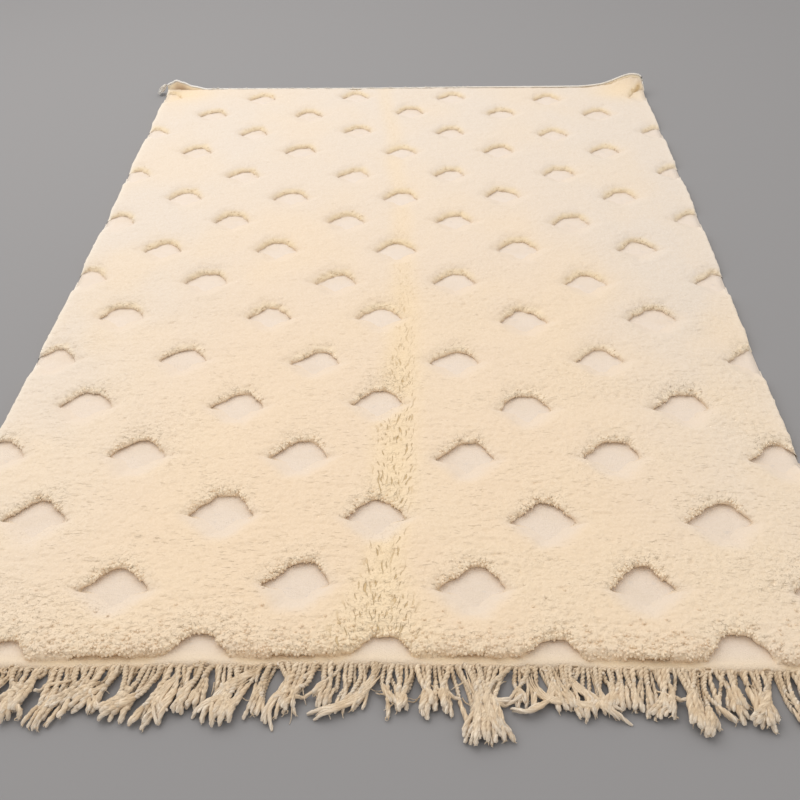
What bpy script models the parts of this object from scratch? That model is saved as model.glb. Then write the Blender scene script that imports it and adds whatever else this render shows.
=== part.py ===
"""A hand-knotted wool rug of the Beni Ourain kind, lying flat on the floor.

The rug is one cloth: a thin ground weave that carries a thick cream pile. The pile leaves staggered rows of
bare, six-sided recesses and a bare strip along each end. A twined strip with a fringe of warp ends closes the
near end. The far end turns up into a narrow lip with a cord along its top, and both far corners curl up.

Metres, +Z up. The origin is on the floor, near the middle of the whole rug. +Y runs from the fringe to the far
end and +X from the left edge to the right edge, seen from the fringe.
"""

import math
import random
from collections import namedtuple

import bmesh
import bpy
from mathutils import Vector, noise

MM = 0.001

# Driving sizes of the cloth.
PITCH = 331.4 * MM  # between neighbouring recesses of a row
HALF_WIDTH = 852 * MM
NEAR_END = -1277 * MM  # where the fringe strip starts, on average
FIELD_LENGTH = 2690 * MM
FAR_END = NEAR_END + FIELD_LENGTH
GROUND = 4 * MM  # thickness of the ground weave
PILE_TOP = 20 * MM  # floor to the tips of the pile
NEAR_BARE_STRIP = 19 * MM  # ground weave that shows between the pile and the fringe
FAR_BARE_STRIP = 12 * MM  # and between the pile and the outside of the far lip
CLEARANCE = 0.3 * MM  # between two pieces that touch

# The pile's surface.
LUMP_HEIGHT = 1.6 * MM
LUMP_LENGTH = 120 * MM
FOLD_DEPTH = 3 * MM  # trough along the middle, where the rug has been folded in half
FOLD_HALF_WIDTH = 75 * MM
GRID_ACROSS = 20
GRID_ALONG = 27
EDGE_CROWDING = 0.25  # share by which the grid's lines draw together towards the rug's edges

# At equal steps from the near end to the far end: how far each long edge strays outwards from a straight line,
# and how far the fold strays to the right of the middle.
LEFT_STRAY = (-6 * MM, -9 * MM, -6 * MM, 3 * MM, 18 * MM, 30 * MM)
RIGHT_STRAY = (0.0, 4 * MM, 2 * MM, 6 * MM, 2 * MM, -6 * MM)
FOLD_STRAY = (5 * MM, 20 * MM, 27 * MM, 5 * MM, -33 * MM, -85 * MM)

# How far the near end strays towards the far end, at equal steps from the left edge to the right edge.
NEAR_STRAY = (-14 * MM, -9 * MM, 1 * MM, 7 * MM, 6 * MM, 1 * MM, -2 * MM)

# Recesses. The middles of a row lie `along` from the near end of the cloth. Its recesses reach `reach` to each
# side of their middles, and each middle strays sideways from the even pitch by one of `strays`. Millimetres.
RecessRow = namedtuple("RecessRow", "along reach strays")
RECESS_ROWS = (
    RecessRow(-2, 66, (41, 44, 23, -15, -26)),
    RecessRow(168, 68, (0, 9, 21, 21, -4, 0)),
    RecessRow(347, 69, (-7, 3, -13, 3, 22)),
    RecessRow(545, 66, (14, -20, -14, 13, 5, 0)),
    RecessRow(719, 66, (-17, -13, -14, -13, 6)),
    RecessRow(907, 64, (26, 0, -15, -16, 4, 0)),
    RecessRow(1100, 66, (-28, 6, -30, -6, -10)),
    RecessRow(1275, 64, (0, 0, -2, 1, 0, 0)),
    RecessRow(1455, 64, (4, 0, 2, 15, 6)),
    RecessRow(1624, 62, (14, 16, 14, -3, 6, 0)),
    RecessRow(1782, 60, (12, 6, 5, -13, -4)),
    RecessRow(1933, 58, (0, 8, 14, -8, -1, 0)),
    RecessRow(2118, 57, (-4, 9, -3, -15, -18)),
    RecessRow(2260, 56, (0, 1, 5, 6, 1, 0)),
    RecessRow(2426, 56, (-2, -2, 20, 5, -5)),
    RecessRow(2568, 56, (0, -28, -13, 2, 11, 0)),
)
LATTICE_SHIFT = -11.6 * MM  # the whole pattern sits a little left of the rug's middle
RECESS_DEPTH_SHARE = 0.9  # a recess's half size along the rug, as a share of its reach
RECESS_FLAT_SHARES = (0.22, 0.44)  # half of its short flat side, as a share of its reach: least and most
RECESS_UNEVENNESS = 0.05  # share by which a corner strays
RECESS_ROUNDING = 0.2  # share of each side that its two rounded corners take
CUTTER_TOP = 60 * MM
CUTTER_OVERRUN = 20 * MM

# Corner curls: `side` is -1 left or 1 right, and the curl starts `across` and `along` from the corner.
Curl = namedtuple("Curl", "side across along lift")
CURLS = (
    Curl(-1, 130 * MM, 110 * MM, 7 * MM),
    Curl(1, 250 * MM, 160 * MM, 46 * MM),
)
CURL_POWER = 1.7  # how late the curl rises towards its corner

# The far lip: how high its top is over the floor at places across the rug, before the corners curl.
LipHeight = namedtuple("LipHeight", "x height")
LIP_HEIGHTS = (
    LipHeight(-885 * MM, 22 * MM),
    LipHeight(-864 * MM, 34 * MM),
    LipHeight(-846 * MM, 44 * MM),
    LipHeight(-824 * MM, 38 * MM),
    LipHeight(-788 * MM, 25 * MM),
    LipHeight(-735 * MM, 15 * MM),
    LipHeight(-200 * MM, 14 * MM),
    LipHeight(250 * MM, 18 * MM),
    LipHeight(850 * MM, 18 * MM),
)
LIP_THICKNESS = 4 * MM
LIP_INSET = 1 * MM  # from the cloth's far end to the outside of the lip
LIP_FOOT = 2 * MM  # the lip grows out of the ground weave from this height
LIP_STEPS = 44

# Fringe.
STRIP_LENGTH = 7 * MM
STRIP_HEIGHT = 5.5 * MM
STRAND_COUNT = 156
STRAND_WIDTH = 5.6 * MM
STRAND_HEIGHT = 4.8 * MM
STRAND_POINTS = 6
STRAND_ROOT_RISE = 0.4 * MM
FULL_LENGTH = 150 * MM  # a strand that hung straight would end here
BUNCH_LENGTHS = (106 * MM, 140 * MM)
STRAND_SPREAD = 9 * MM  # the most that a strand is longer or shorter than its bunch
BUNCH_SIZES = (3, 7)
GATHER = 0.32  # share of its way to the middle of its bunch that a tip moves
LEAN = 34 * MM  # the most that a bunch's tips lean sideways
LEAN_ROOM = 0.8  # share of the room between two bunches that their leans may use up
LEAN_SPREAD = 30 * MM  # the most that a bunch leans away from the one before it

# Far cord.
CORD_RADIUS = 3.1 * MM
CORD_BEVEL_RESOLUTION = 1
TuftPoint = namedtuple("TuftPoint", "outward nearer up thickness")
TUFT = (  # the cord's loose end, past the left edge, with its thickness as a share of the cord's
    TuftPoint(9 * MM, 0 * MM, 19 * MM, 1.0),
    TuftPoint(19 * MM, 0 * MM, 11 * MM, 1.2),
    TuftPoint(28 * MM, 3 * MM, 7 * MM, 1.9),
    TuftPoint(37 * MM, 6 * MM, 6.8 * MM, 2.1),
    TuftPoint(45 * MM, 9 * MM, 5 * MM, 1.0),
)

Finish = namedtuple("Finish", "name colour roughness")
PILE_WOOL = Finish("pile_wool", (0.86, 0.75, 0.60), 0.95)
FRINGE_YARN = Finish("fringe_yarn", (0.74, 0.64, 0.50), 0.9)
CORD_YARN = Finish("cord_yarn", (0.80, 0.71, 0.58), 0.9)


def clear_scene():
    """Empties the file, so that only the rug is in it."""
    for obj in list(bpy.data.objects):
        bpy.data.objects.remove(obj)


def new_collection(name):
    """A collection in the scene, for the parts or for their helpers."""
    made = bpy.data.collections.new(name)
    bpy.context.scene.collection.children.link(made)
    return made


def dress(obj, finish):
    """Gives an object one Principled material in the finish's colour."""
    made = bpy.data.materials.new(finish.name)
    made.use_nodes = True
    shader = made.node_tree.nodes["Principled BSDF"]
    shader.inputs["Base Color"].default_value = (*finish.colour, 1.0)
    shader.inputs["Roughness"].default_value = finish.roughness
    obj.data.materials.clear()
    obj.data.materials.append(made)


def object_of(mesh, name, collection):
    """An object in a collection, holding what a bmesh holds."""
    bmesh.ops.recalc_face_normals(mesh, faces=mesh.faces[:])
    data = bpy.data.meshes.new(name)
    mesh.to_mesh(data)
    mesh.free()
    obj = bpy.data.objects.new(name, data)
    collection.objects.link(obj)
    return obj


def as_helper(obj):
    """Keeps a cutter or a guide out of the model."""
    obj.hide_render = True
    obj.display_type = "WIRE"


def boolean(obj, other, operation):
    """Cuts obj by another object, or joins it to it."""
    modifier = obj.modifiers.new(operation.lower(), "BOOLEAN")
    modifier.operation = operation
    modifier.solver = "EXACT"
    modifier.object = other
    as_helper(other)


def evaluated_mesh(obj):
    """A new mesh with an object's evaluated shape."""
    bpy.context.view_layer.update()
    graph = bpy.context.evaluated_depsgraph_get()
    return bpy.data.meshes.new_from_object(obj.evaluated_get(graph))


def apply_modifiers(obj):
    """Turns an object's evaluated shape into its own mesh."""
    made = evaluated_mesh(obj)
    obj.modifiers.clear()
    obj.data = made


def smooth_step(value):
    """0 below 0, 1 above 1, and an even S between them."""
    t = min(max(value, 0.0), 1.0)
    return t * t * (3 - 2 * t)


def table_at(values, share):
    """The value of a table with equal steps at a share of the way through it."""
    place = min(max(share, 0.0), 1.0) * (len(values) - 1)
    index = min(int(place), len(values) - 2)
    return values[index] + (values[index + 1] - values[index]) * smooth_step(place - index)


def along_at(values, y):
    """The value, at a place along the cloth, of a table that runs from the near end to the far end."""
    return table_at(values, (y - NEAR_END) / FIELD_LENGTH)


def near_y(x):
    """Where the near end of the cloth lies at a place across it."""
    return NEAR_END + table_at(NEAR_STRAY, x / (2 * HALF_WIDTH) + 0.5)


def side_x(side, y):
    """Where the left (-1) or right (1) long edge of the cloth lies at a place along it."""
    strays = LEFT_STRAY if side < 0 else RIGHT_STRAY
    return side * (HALF_WIDTH + along_at(strays, y))


def across_at(share, y):
    """The place at a share of the cloth's width, from its left edge to its right edge."""
    left, right = side_x(-1, y), side_x(1, y)
    return left + (right - left) * share


def curl_lift(x, y):
    """How far the curled far corners raise the cloth off the floor."""
    lift = 0.0
    for curl in CURLS:
        inward = (side_x(curl.side, FAR_END) - x) * curl.side / curl.across
        nearer = (FAR_END - y) / curl.along
        past_fold = 1.0 - max(inward, 0.0) - max(nearer, 0.0)
        lift += curl.lift * max(past_fold, 0.0) ** CURL_POWER
    return lift


def pile_height(x, y):
    """The height of the pile's surface over the floor, where the rug lies flat."""
    lump = noise.noise(Vector((x / LUMP_LENGTH, y / LUMP_LENGTH, 0.0)))
    from_fold = abs(x - along_at(FOLD_STRAY, y)) / FOLD_HALF_WIDTH
    return PILE_TOP + LUMP_HEIGHT * lump - FOLD_DEPTH * (1 - smooth_step(from_fold))


def lip_height(x):
    """The height of the far lip's top over the floor, where the corners don't curl."""
    for before, after in zip(LIP_HEIGHTS, LIP_HEIGHTS[1:]):
        if x <= after.x:
            share = smooth_step((x - before.x) / (after.x - before.x))
            return before.height + (after.height - before.height) * share
    return LIP_HEIGHTS[-1].height


def crowded(share):
    """Moves an even share from 0 to 1 so that its steps are shorter near both ends."""
    even = 2 * share - 1
    return (even * (1 + EDGE_CROWDING * (1 - even * even)) + 1) / 2


def thickened_grid(columns, rows, place, shift):
    """A closed solid between a grid, whose points `place` sets, and its copy, which `shift` moves."""
    mesh = bmesh.new()
    bmesh.ops.create_grid(mesh, x_segments=columns, y_segments=rows, size=0.5)
    for vertex in mesh.verts:
        vertex.co = place(vertex.co.x + 0.5, vertex.co.y + 0.5)
    grown = bmesh.ops.extrude_face_region(mesh, geom=mesh.faces[:])
    for item in grown["geom"]:
        if isinstance(item, bmesh.types.BMVert):
            item.co = shift(item.co)
    return mesh


def pile_slab(collection):
    """The cloth as if the pile covered all of it: a lumpy top on a flat underside."""

    def on_floor(across, along):
        y = NEAR_END + FIELD_LENGTH * crowded(along)
        x = across_at(crowded(across), y)
        return Vector((x, y + (near_y(x) - NEAR_END) * (1 - along), 0.0))

    def on_pile(point):
        return Vector((point.x, point.y, pile_height(point.x, point.y)))

    mesh = thickened_grid(GRID_ACROSS, GRID_ALONG, on_floor, on_pile)
    return object_of(mesh, "woven_field", collection)


def far_lip(collection):
    """The end of the ground weave, turned up behind the pile's far edge."""
    front_y = FAR_END - LIP_INSET - LIP_THICKNESS

    def on_front(across, up):
        x = across_at(crowded(across), FAR_END)
        return Vector((x, front_y, LIP_FOOT + (lip_height(x) - LIP_FOOT) * up))

    def on_back(point):
        return point + Vector((0.0, LIP_THICKNESS, 0.0))

    return object_of(thickened_grid(LIP_STEPS, 1, on_front, on_back), "far_lip", collection)


def recess_outline(reach, shuffle):
    """Points round one recess about its middle: six sides, rounded corners and a hand's unevenness."""
    depth = reach * RECESS_DEPTH_SHARE
    far_flat = reach * shuffle.uniform(*RECESS_FLAT_SHARES)
    near_flat = reach * shuffle.uniform(*RECESS_FLAT_SHARES)
    corners = (
        (reach, 0),
        (far_flat, depth),
        (-far_flat, depth),
        (-reach, 0),
        (-near_flat, -depth),
        (near_flat, -depth),
    )
    corners = [Vector(corner) * shuffle.uniform(1 - RECESS_UNEVENNESS, 1 + RECESS_UNEVENNESS) for corner in corners]
    points = []
    for index, corner in enumerate(corners):
        points.append(corner.lerp(corners[index - 1], RECESS_ROUNDING))
        points.append(corner.lerp(corners[(index + 1) % len(corners)], RECESS_ROUNDING))
    return points


def recess_places():
    """The middle and the reach of every recess, row by row from the near end."""
    for row in RECESS_ROWS:
        middle_of_row = (len(row.strays) - 1) / 2
        for index, stray in enumerate(row.strays):
            x = LATTICE_SHIFT + (index - middle_of_row) * PITCH + stray * MM
            yield Vector((x, NEAR_END + row.along * MM)), row.reach * MM


def raise_to_top(mesh, faces):
    """Makes a closed upright cutter from faces that lie on the ground weave."""
    raised = bmesh.ops.extrude_face_region(mesh, geom=faces)
    for item in raised["geom"]:
        if isinstance(item, bmesh.types.BMVert):
            item.co.z = CUTTER_TOP


def recess_cutter(collection):
    """Prisms that take the pile off the ground weave at every recess."""
    shuffle = random.Random(16)
    mesh = bmesh.new()
    for middle, reach in recess_places():
        outline = [middle + point for point in recess_outline(reach, shuffle)]
        raise_to_top(mesh, [mesh.faces.new([mesh.verts.new((*point, GROUND)) for point in outline])])
    return object_of(mesh, "recess_cutter", collection)


def bare_strip_cutter(name, low, high, collection):
    """A bar that takes the pile off the ground weave between two lines across the cloth."""

    def on_ground(across, along):
        x = (2 * crowded(across) - 1) * (HALF_WIDTH + 2 * CUTTER_OVERRUN)
        return Vector((x, low(x) + (high(x) - low(x)) * along, GROUND))

    def at_top(point):
        return Vector((point.x, point.y, CUTTER_TOP))

    return object_of(thickened_grid(GRID_ACROSS, 1, on_ground, at_top), name, collection)


def near_bar(collection):
    """The cutter for the bare strip along the near end."""
    return bare_strip_cutter(
        "near_bar", lambda x: near_y(x) - CUTTER_OVERRUN, lambda x: near_y(x) + NEAR_BARE_STRIP, collection
    )


def far_bar(collection):
    """The cutter for the bare strip along the far end."""
    return bare_strip_cutter(
        "far_bar", lambda x: FAR_END - FAR_BARE_STRIP, lambda x: FAR_END + CUTTER_OVERRUN, collection
    )


def woven_field(parts, cutters):
    """The cloth: pile with its recesses on the ground weave, its far end turned up and its corners curled."""
    field = pile_slab(parts)
    boolean(field, near_bar(cutters), "DIFFERENCE")
    boolean(field, far_bar(cutters), "DIFFERENCE")
    boolean(field, recess_cutter(cutters), "DIFFERENCE")
    boolean(field, far_lip(cutters), "UNION")
    apply_modifiers(field)
    for vertex in field.data.vertices:
        vertex.co.z += curl_lift(vertex.co.x, vertex.co.y)
    dress(field, PILE_WOOL)


def bunch_sizes(shuffle):
    """How many strands each bunch of the fringe gathers, from left to right."""
    left = STRAND_COUNT
    while left > 0:
        size = min(left, shuffle.randint(*BUNCH_SIZES))
        left -= size
        yield size


def strand_route(root_x, bunch_x, lean, length):
    """Points of one strand with its thickness at each, from inside the strip to its tip on the floor."""
    root_y = near_y(root_x) - CLEARANCE - STRIP_LENGTH / 2
    sideways = GATHER * (bunch_x - root_x) + lean
    route = []
    for place in range(STRAND_POINTS):
        run = length * place / (STRAND_POINTS - 1)
        x = root_x + sideways * smooth_step(run / FULL_LENGTH)
        rise = STRAND_ROOT_RISE if place == 0 else 0.0
        thickness = 1.0 if place < STRAND_POINTS - 1 else 0.55
        route.append((Vector((x, root_y - run, rise)), thickness))
    return route


def fringe_routes():
    """The routes of all strands, bunch by bunch, with no two that cross."""
    shuffle = random.Random(140)
    first = side_x(-1, NEAR_END) + STRAND_WIDTH
    last = side_x(1, NEAR_END) - STRAND_WIDTH
    step = (last - first) / (STRAND_COUNT - 1)
    roots = [first + index * step for index in range(STRAND_COUNT)]
    lean, size_before = 0.0, 0
    for size in bunch_sizes(shuffle):
        bunch, roots = roots[:size], roots[size:]
        room = LEAN_ROOM * GATHER * step * (size + size_before) / 2
        lean = min(max(shuffle.uniform(-LEAN, LEAN), lean - room), lean + LEAN_SPREAD)
        length = shuffle.uniform(*BUNCH_LENGTHS)
        size_before = size
        for root_x in bunch:
            stray = shuffle.uniform(-STRAND_SPREAD, STRAND_SPREAD)
            yield strand_route(root_x, sum(bunch) / size, lean, length + stray)


def add_spline(curve, route):
    """Adds one open spline through points with their thicknesses."""
    spline = curve.splines.new("POLY")
    spline.points.add(len(route) - 1)
    for point, (place, thickness) in zip(spline.points, route):
        point.co = (*place, 1.0)
        point.radius = thickness


def new_curve(name, collection):
    """An empty 3D curve object with closed ends."""
    curve = bpy.data.curves.new(name, "CURVE")
    curve.dimensions = "3D"
    curve.twist_mode = "Z_UP"
    curve.use_fill_caps = True
    made = bpy.data.objects.new(name, curve)
    collection.objects.link(made)
    return made


def strand_section(guides):
    """The section that every strand is swept with: four sides, flat underneath."""
    section = new_curve("strand_section", guides)
    half = STRAND_WIDTH / 2
    corners = ((-half, 0), (half, 0), (half * 0.6, STRAND_HEIGHT), (-half * 0.6, STRAND_HEIGHT))
    add_spline(section.data, [(Vector((across, up, 0.0)), 1.0) for across, up in corners])
    section.data.splines[0].use_cyclic_u = True
    as_helper(section)
    return section


def mesh_from_curve(curve_object, collection):
    """Replaces a curve object by a closed mesh object of the same name."""
    mesh = bmesh.new()
    mesh.from_mesh(evaluated_mesh(curve_object))
    bmesh.ops.remove_doubles(mesh, verts=mesh.verts[:], dist=0.01 * MM)
    name = curve_object.name
    bpy.data.objects.remove(curve_object)
    return object_of(mesh, name, collection)


def fringe_strands(cutters):
    """All the strands as one mesh of separate tubes."""
    strands = new_curve("strands", cutters)
    strands.data.bevel_mode = "OBJECT"
    strands.data.bevel_object = strand_section(cutters)
    for route in fringe_routes():
        add_spline(strands.data, route)
    return mesh_from_curve(strands, cutters)


def twined_strip(collection):
    """The strip along the near end that the strands grow from."""

    def on_floor(across, along):
        x = across_at(crowded(across), NEAR_END)
        return Vector((x, near_y(x) - CLEARANCE - STRIP_LENGTH * (1 - along), 0.0))

    def on_top(point):
        return point + Vector((0.0, 0.0, STRIP_HEIGHT))

    return object_of(thickened_grid(GRID_ACROSS, 1, on_floor, on_top), "near_fringe", collection)


def near_fringe(parts, cutters):
    """The twined strip along the near end, with the strands fused to it at their roots."""
    fringe = twined_strip(parts)
    boolean(fringe, fringe_strands(cutters), "UNION")
    apply_modifiers(fringe)
    dress(fringe, FRINGE_YARN)


def on_lip(x, y):
    """A point on top of the far lip."""
    return Vector((x, y, lip_height(x) + curl_lift(x, y)))


def cord_route():
    """Points of the far cord with its thickness at each, from the right corner to the tuft's end."""
    y = FAR_END - LIP_INSET - LIP_THICKNESS / 2
    places = [across_at(crowded(1 - step / LIP_STEPS), FAR_END) for step in range(LIP_STEPS + 1)]
    tops = [on_lip(x, y) for x in places]
    route = []
    for index, top in enumerate(tops):
        run = tops[min(index + 1, LIP_STEPS)] - tops[max(index - 1, 0)]
        outward = Vector((run.z, 0.0, -run.x)).normalized()
        route.append((top + outward * (CORD_RADIUS + 2 * CLEARANCE), 1.0))
    for point in TUFT:
        place = Vector((places[-1] - point.outward, y - point.nearer, point.up))
        route.append((place, point.thickness))
    return route


def far_cord(parts):
    """The cord along the top of the far lip, whose loose end frays past the left corner."""
    cord = new_curve("far_cord", parts)
    cord.data.bevel_depth = CORD_RADIUS
    cord.data.bevel_resolution = CORD_BEVEL_RESOLUTION
    add_spline(cord.data, cord_route())
    dress(mesh_from_curve(cord, parts), CORD_YARN)


def main():
    """Builds the rug in its own collection, with the cutters in another."""
    clear_scene()
    parts = new_collection("beni_ourain_rug")
    cutters = new_collection("cutters")
    woven_field(parts, cutters)
    near_fringe(parts, cutters)
    far_cord(parts)


main()
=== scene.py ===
"""A cream hand-knotted wool rug of the Beni Ourain kind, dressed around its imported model.

The cloth is a ground weave under a thick pile with staggered six-sided recesses. A twined strip with a
twisted fringe closes its near end, and the far end turns up into a lip with a cord along its top. Metres, +Z
up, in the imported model's own frame: +Y runs from the fringe to the far end.
"""

import logging
import math
import random
from collections.abc import Callable, Iterator, Sequence
from dataclasses import dataclass
from enum import Enum

import bpy
import numpy as np
from mathutils import Matrix, Vector


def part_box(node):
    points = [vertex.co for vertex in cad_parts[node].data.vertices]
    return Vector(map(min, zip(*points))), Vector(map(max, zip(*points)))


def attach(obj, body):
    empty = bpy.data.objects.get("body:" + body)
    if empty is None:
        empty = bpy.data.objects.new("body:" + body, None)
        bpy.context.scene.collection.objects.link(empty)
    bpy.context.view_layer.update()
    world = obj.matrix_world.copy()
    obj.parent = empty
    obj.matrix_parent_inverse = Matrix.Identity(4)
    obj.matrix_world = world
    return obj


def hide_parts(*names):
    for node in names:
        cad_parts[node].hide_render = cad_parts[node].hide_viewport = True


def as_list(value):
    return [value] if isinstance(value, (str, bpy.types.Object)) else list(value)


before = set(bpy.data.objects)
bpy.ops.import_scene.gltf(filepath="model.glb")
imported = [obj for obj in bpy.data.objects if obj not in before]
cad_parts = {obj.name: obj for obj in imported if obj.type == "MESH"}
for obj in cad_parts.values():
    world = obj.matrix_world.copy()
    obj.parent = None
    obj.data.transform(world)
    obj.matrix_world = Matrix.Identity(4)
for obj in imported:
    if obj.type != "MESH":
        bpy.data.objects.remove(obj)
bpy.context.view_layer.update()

log = logging.getLogger("rug")

MM = 0.001
FULL_TURN = 2 * math.pi
ROOT_BODY = "root"

Array = np.ndarray
Colour = tuple[float, float, float]
Span = tuple[float, float]  # from and to, or least and most
Size = tuple[float, float, float]  # of a noise's bumps, across, along and up
Inputs = dict[str, object] | Sequence[object]  # what goes into a node's sockets, by name or in order
Route = list[tuple[Vector, float]]  # points with the yarn's thickness at each, as a share of its full one


class Slot(Enum):
    """The record's material slots."""

    PILE = "pile_wool"
    FRINGE = "fringe_yarn"
    CORD = "cord_yarn"


# ---- small mathematics ----


def in_mm(*values: float) -> tuple[float, ...]:
    """Lengths from their millimetres."""
    return tuple(value * MM for value in values)


def smooth_step(value: Array, low: float = 0.0, high: float = 1.0) -> Array:
    """An even S from 0 at `low` to 1 at `high`."""
    share = np.clip((value - low) / (high - low), 0.0, 1.0)
    return share * share * (3 - 2 * share)


def bell(*offsets: tuple[Array, float]) -> Array:
    """A bump of height 1 that falls off in each direction, from its pairs of distance and width."""
    return np.exp(-sum((distance / width) ** 2 for distance, width in offsets))


def fading(distance: Array, reach: float) -> Array:
    """1 up to a distance of 0, from where it fades over a reach."""
    return np.exp(-np.maximum(distance, 0.0) / reach)


def table_at(values: Sequence[float], share: Array) -> Array:
    """The value of a table with equal steps.

    Args:
        values: The table's entries.
        share: How far through the table to read it, from 0 to 1.

    Returns:
        The values there, smooth from entry to entry.
    """
    table = np.asarray(values)
    place = np.clip(share, 0.0, 1.0) * (len(table) - 1)
    index = np.minimum(place.astype(int), len(table) - 2)
    return table[index] + (table[index + 1] - table[index]) * smooth_step(place - index)


def patches(x: Array, y: Array, size: float, seed: int) -> Array:
    """Smooth noise over the floor plan.

    Args:
        x: Places across the rug.
        y: Places along the rug.
        size: About how far apart two bumps lie.
        seed: Which noise it is.

    Returns:
        Values from -1 to 1.
    """
    cells = 64
    table = np.random.default_rng(seed).uniform(-1.0, 1.0, (cells, cells))
    column, row = np.floor(x / size).astype(int), np.floor(y / size).astype(int)
    across, along = smooth_step(x / size - column), smooth_step(y / size - row)

    def corner(right: int, up: int) -> Array:
        """The table's values at one corner of each cell."""
        return table[(row + up) % cells, (column + right) % cells]

    low = corner(0, 0) + (corner(1, 0) - corner(0, 0)) * across
    high = corner(0, 1) + (corner(1, 1) - corner(0, 1)) * across
    return low + (high - low) * along


# ---- node trees ----


def in_use(sockets: Sequence[bpy.types.NodeSocket], name: str) -> bpy.types.NodeSocket:
    """The socket of that name that the node's settings leave in use."""
    return next(socket for socket in sockets if socket.enabled and socket.name == name)


def arithmetic(operation: str, swapped: bool = False) -> Callable[["Field", object], "Field"]:
    """An operator of Field: a Math node with the field as its first value, or as its second if swapped."""

    def operator(field: "Field", other: object) -> "Field":
        """The node's result."""
        return field.maker.math(operation, *((other, field) if swapped else (field, other)))

    return operator


@dataclass(frozen=True)
class Field:
    """A value in a node tree. Arithmetic with it adds Math nodes."""

    maker: "Maker"
    socket: bpy.types.NodeSocket

    __add__ = arithmetic("ADD")
    __sub__, __rsub__ = arithmetic("SUBTRACT"), arithmetic("SUBTRACT", swapped=True)
    __mul__ = arithmetic("MULTIPLY")
    __truediv__, __rtruediv__ = arithmetic("DIVIDE"), arithmetic("DIVIDE", swapped=True)

    def times_plus(self, factor: object, rest: object) -> "Field":
        """This value times a factor, plus the rest, as one node."""
        return self.maker.math("MULTIPLY_ADD", self, factor, rest)


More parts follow.
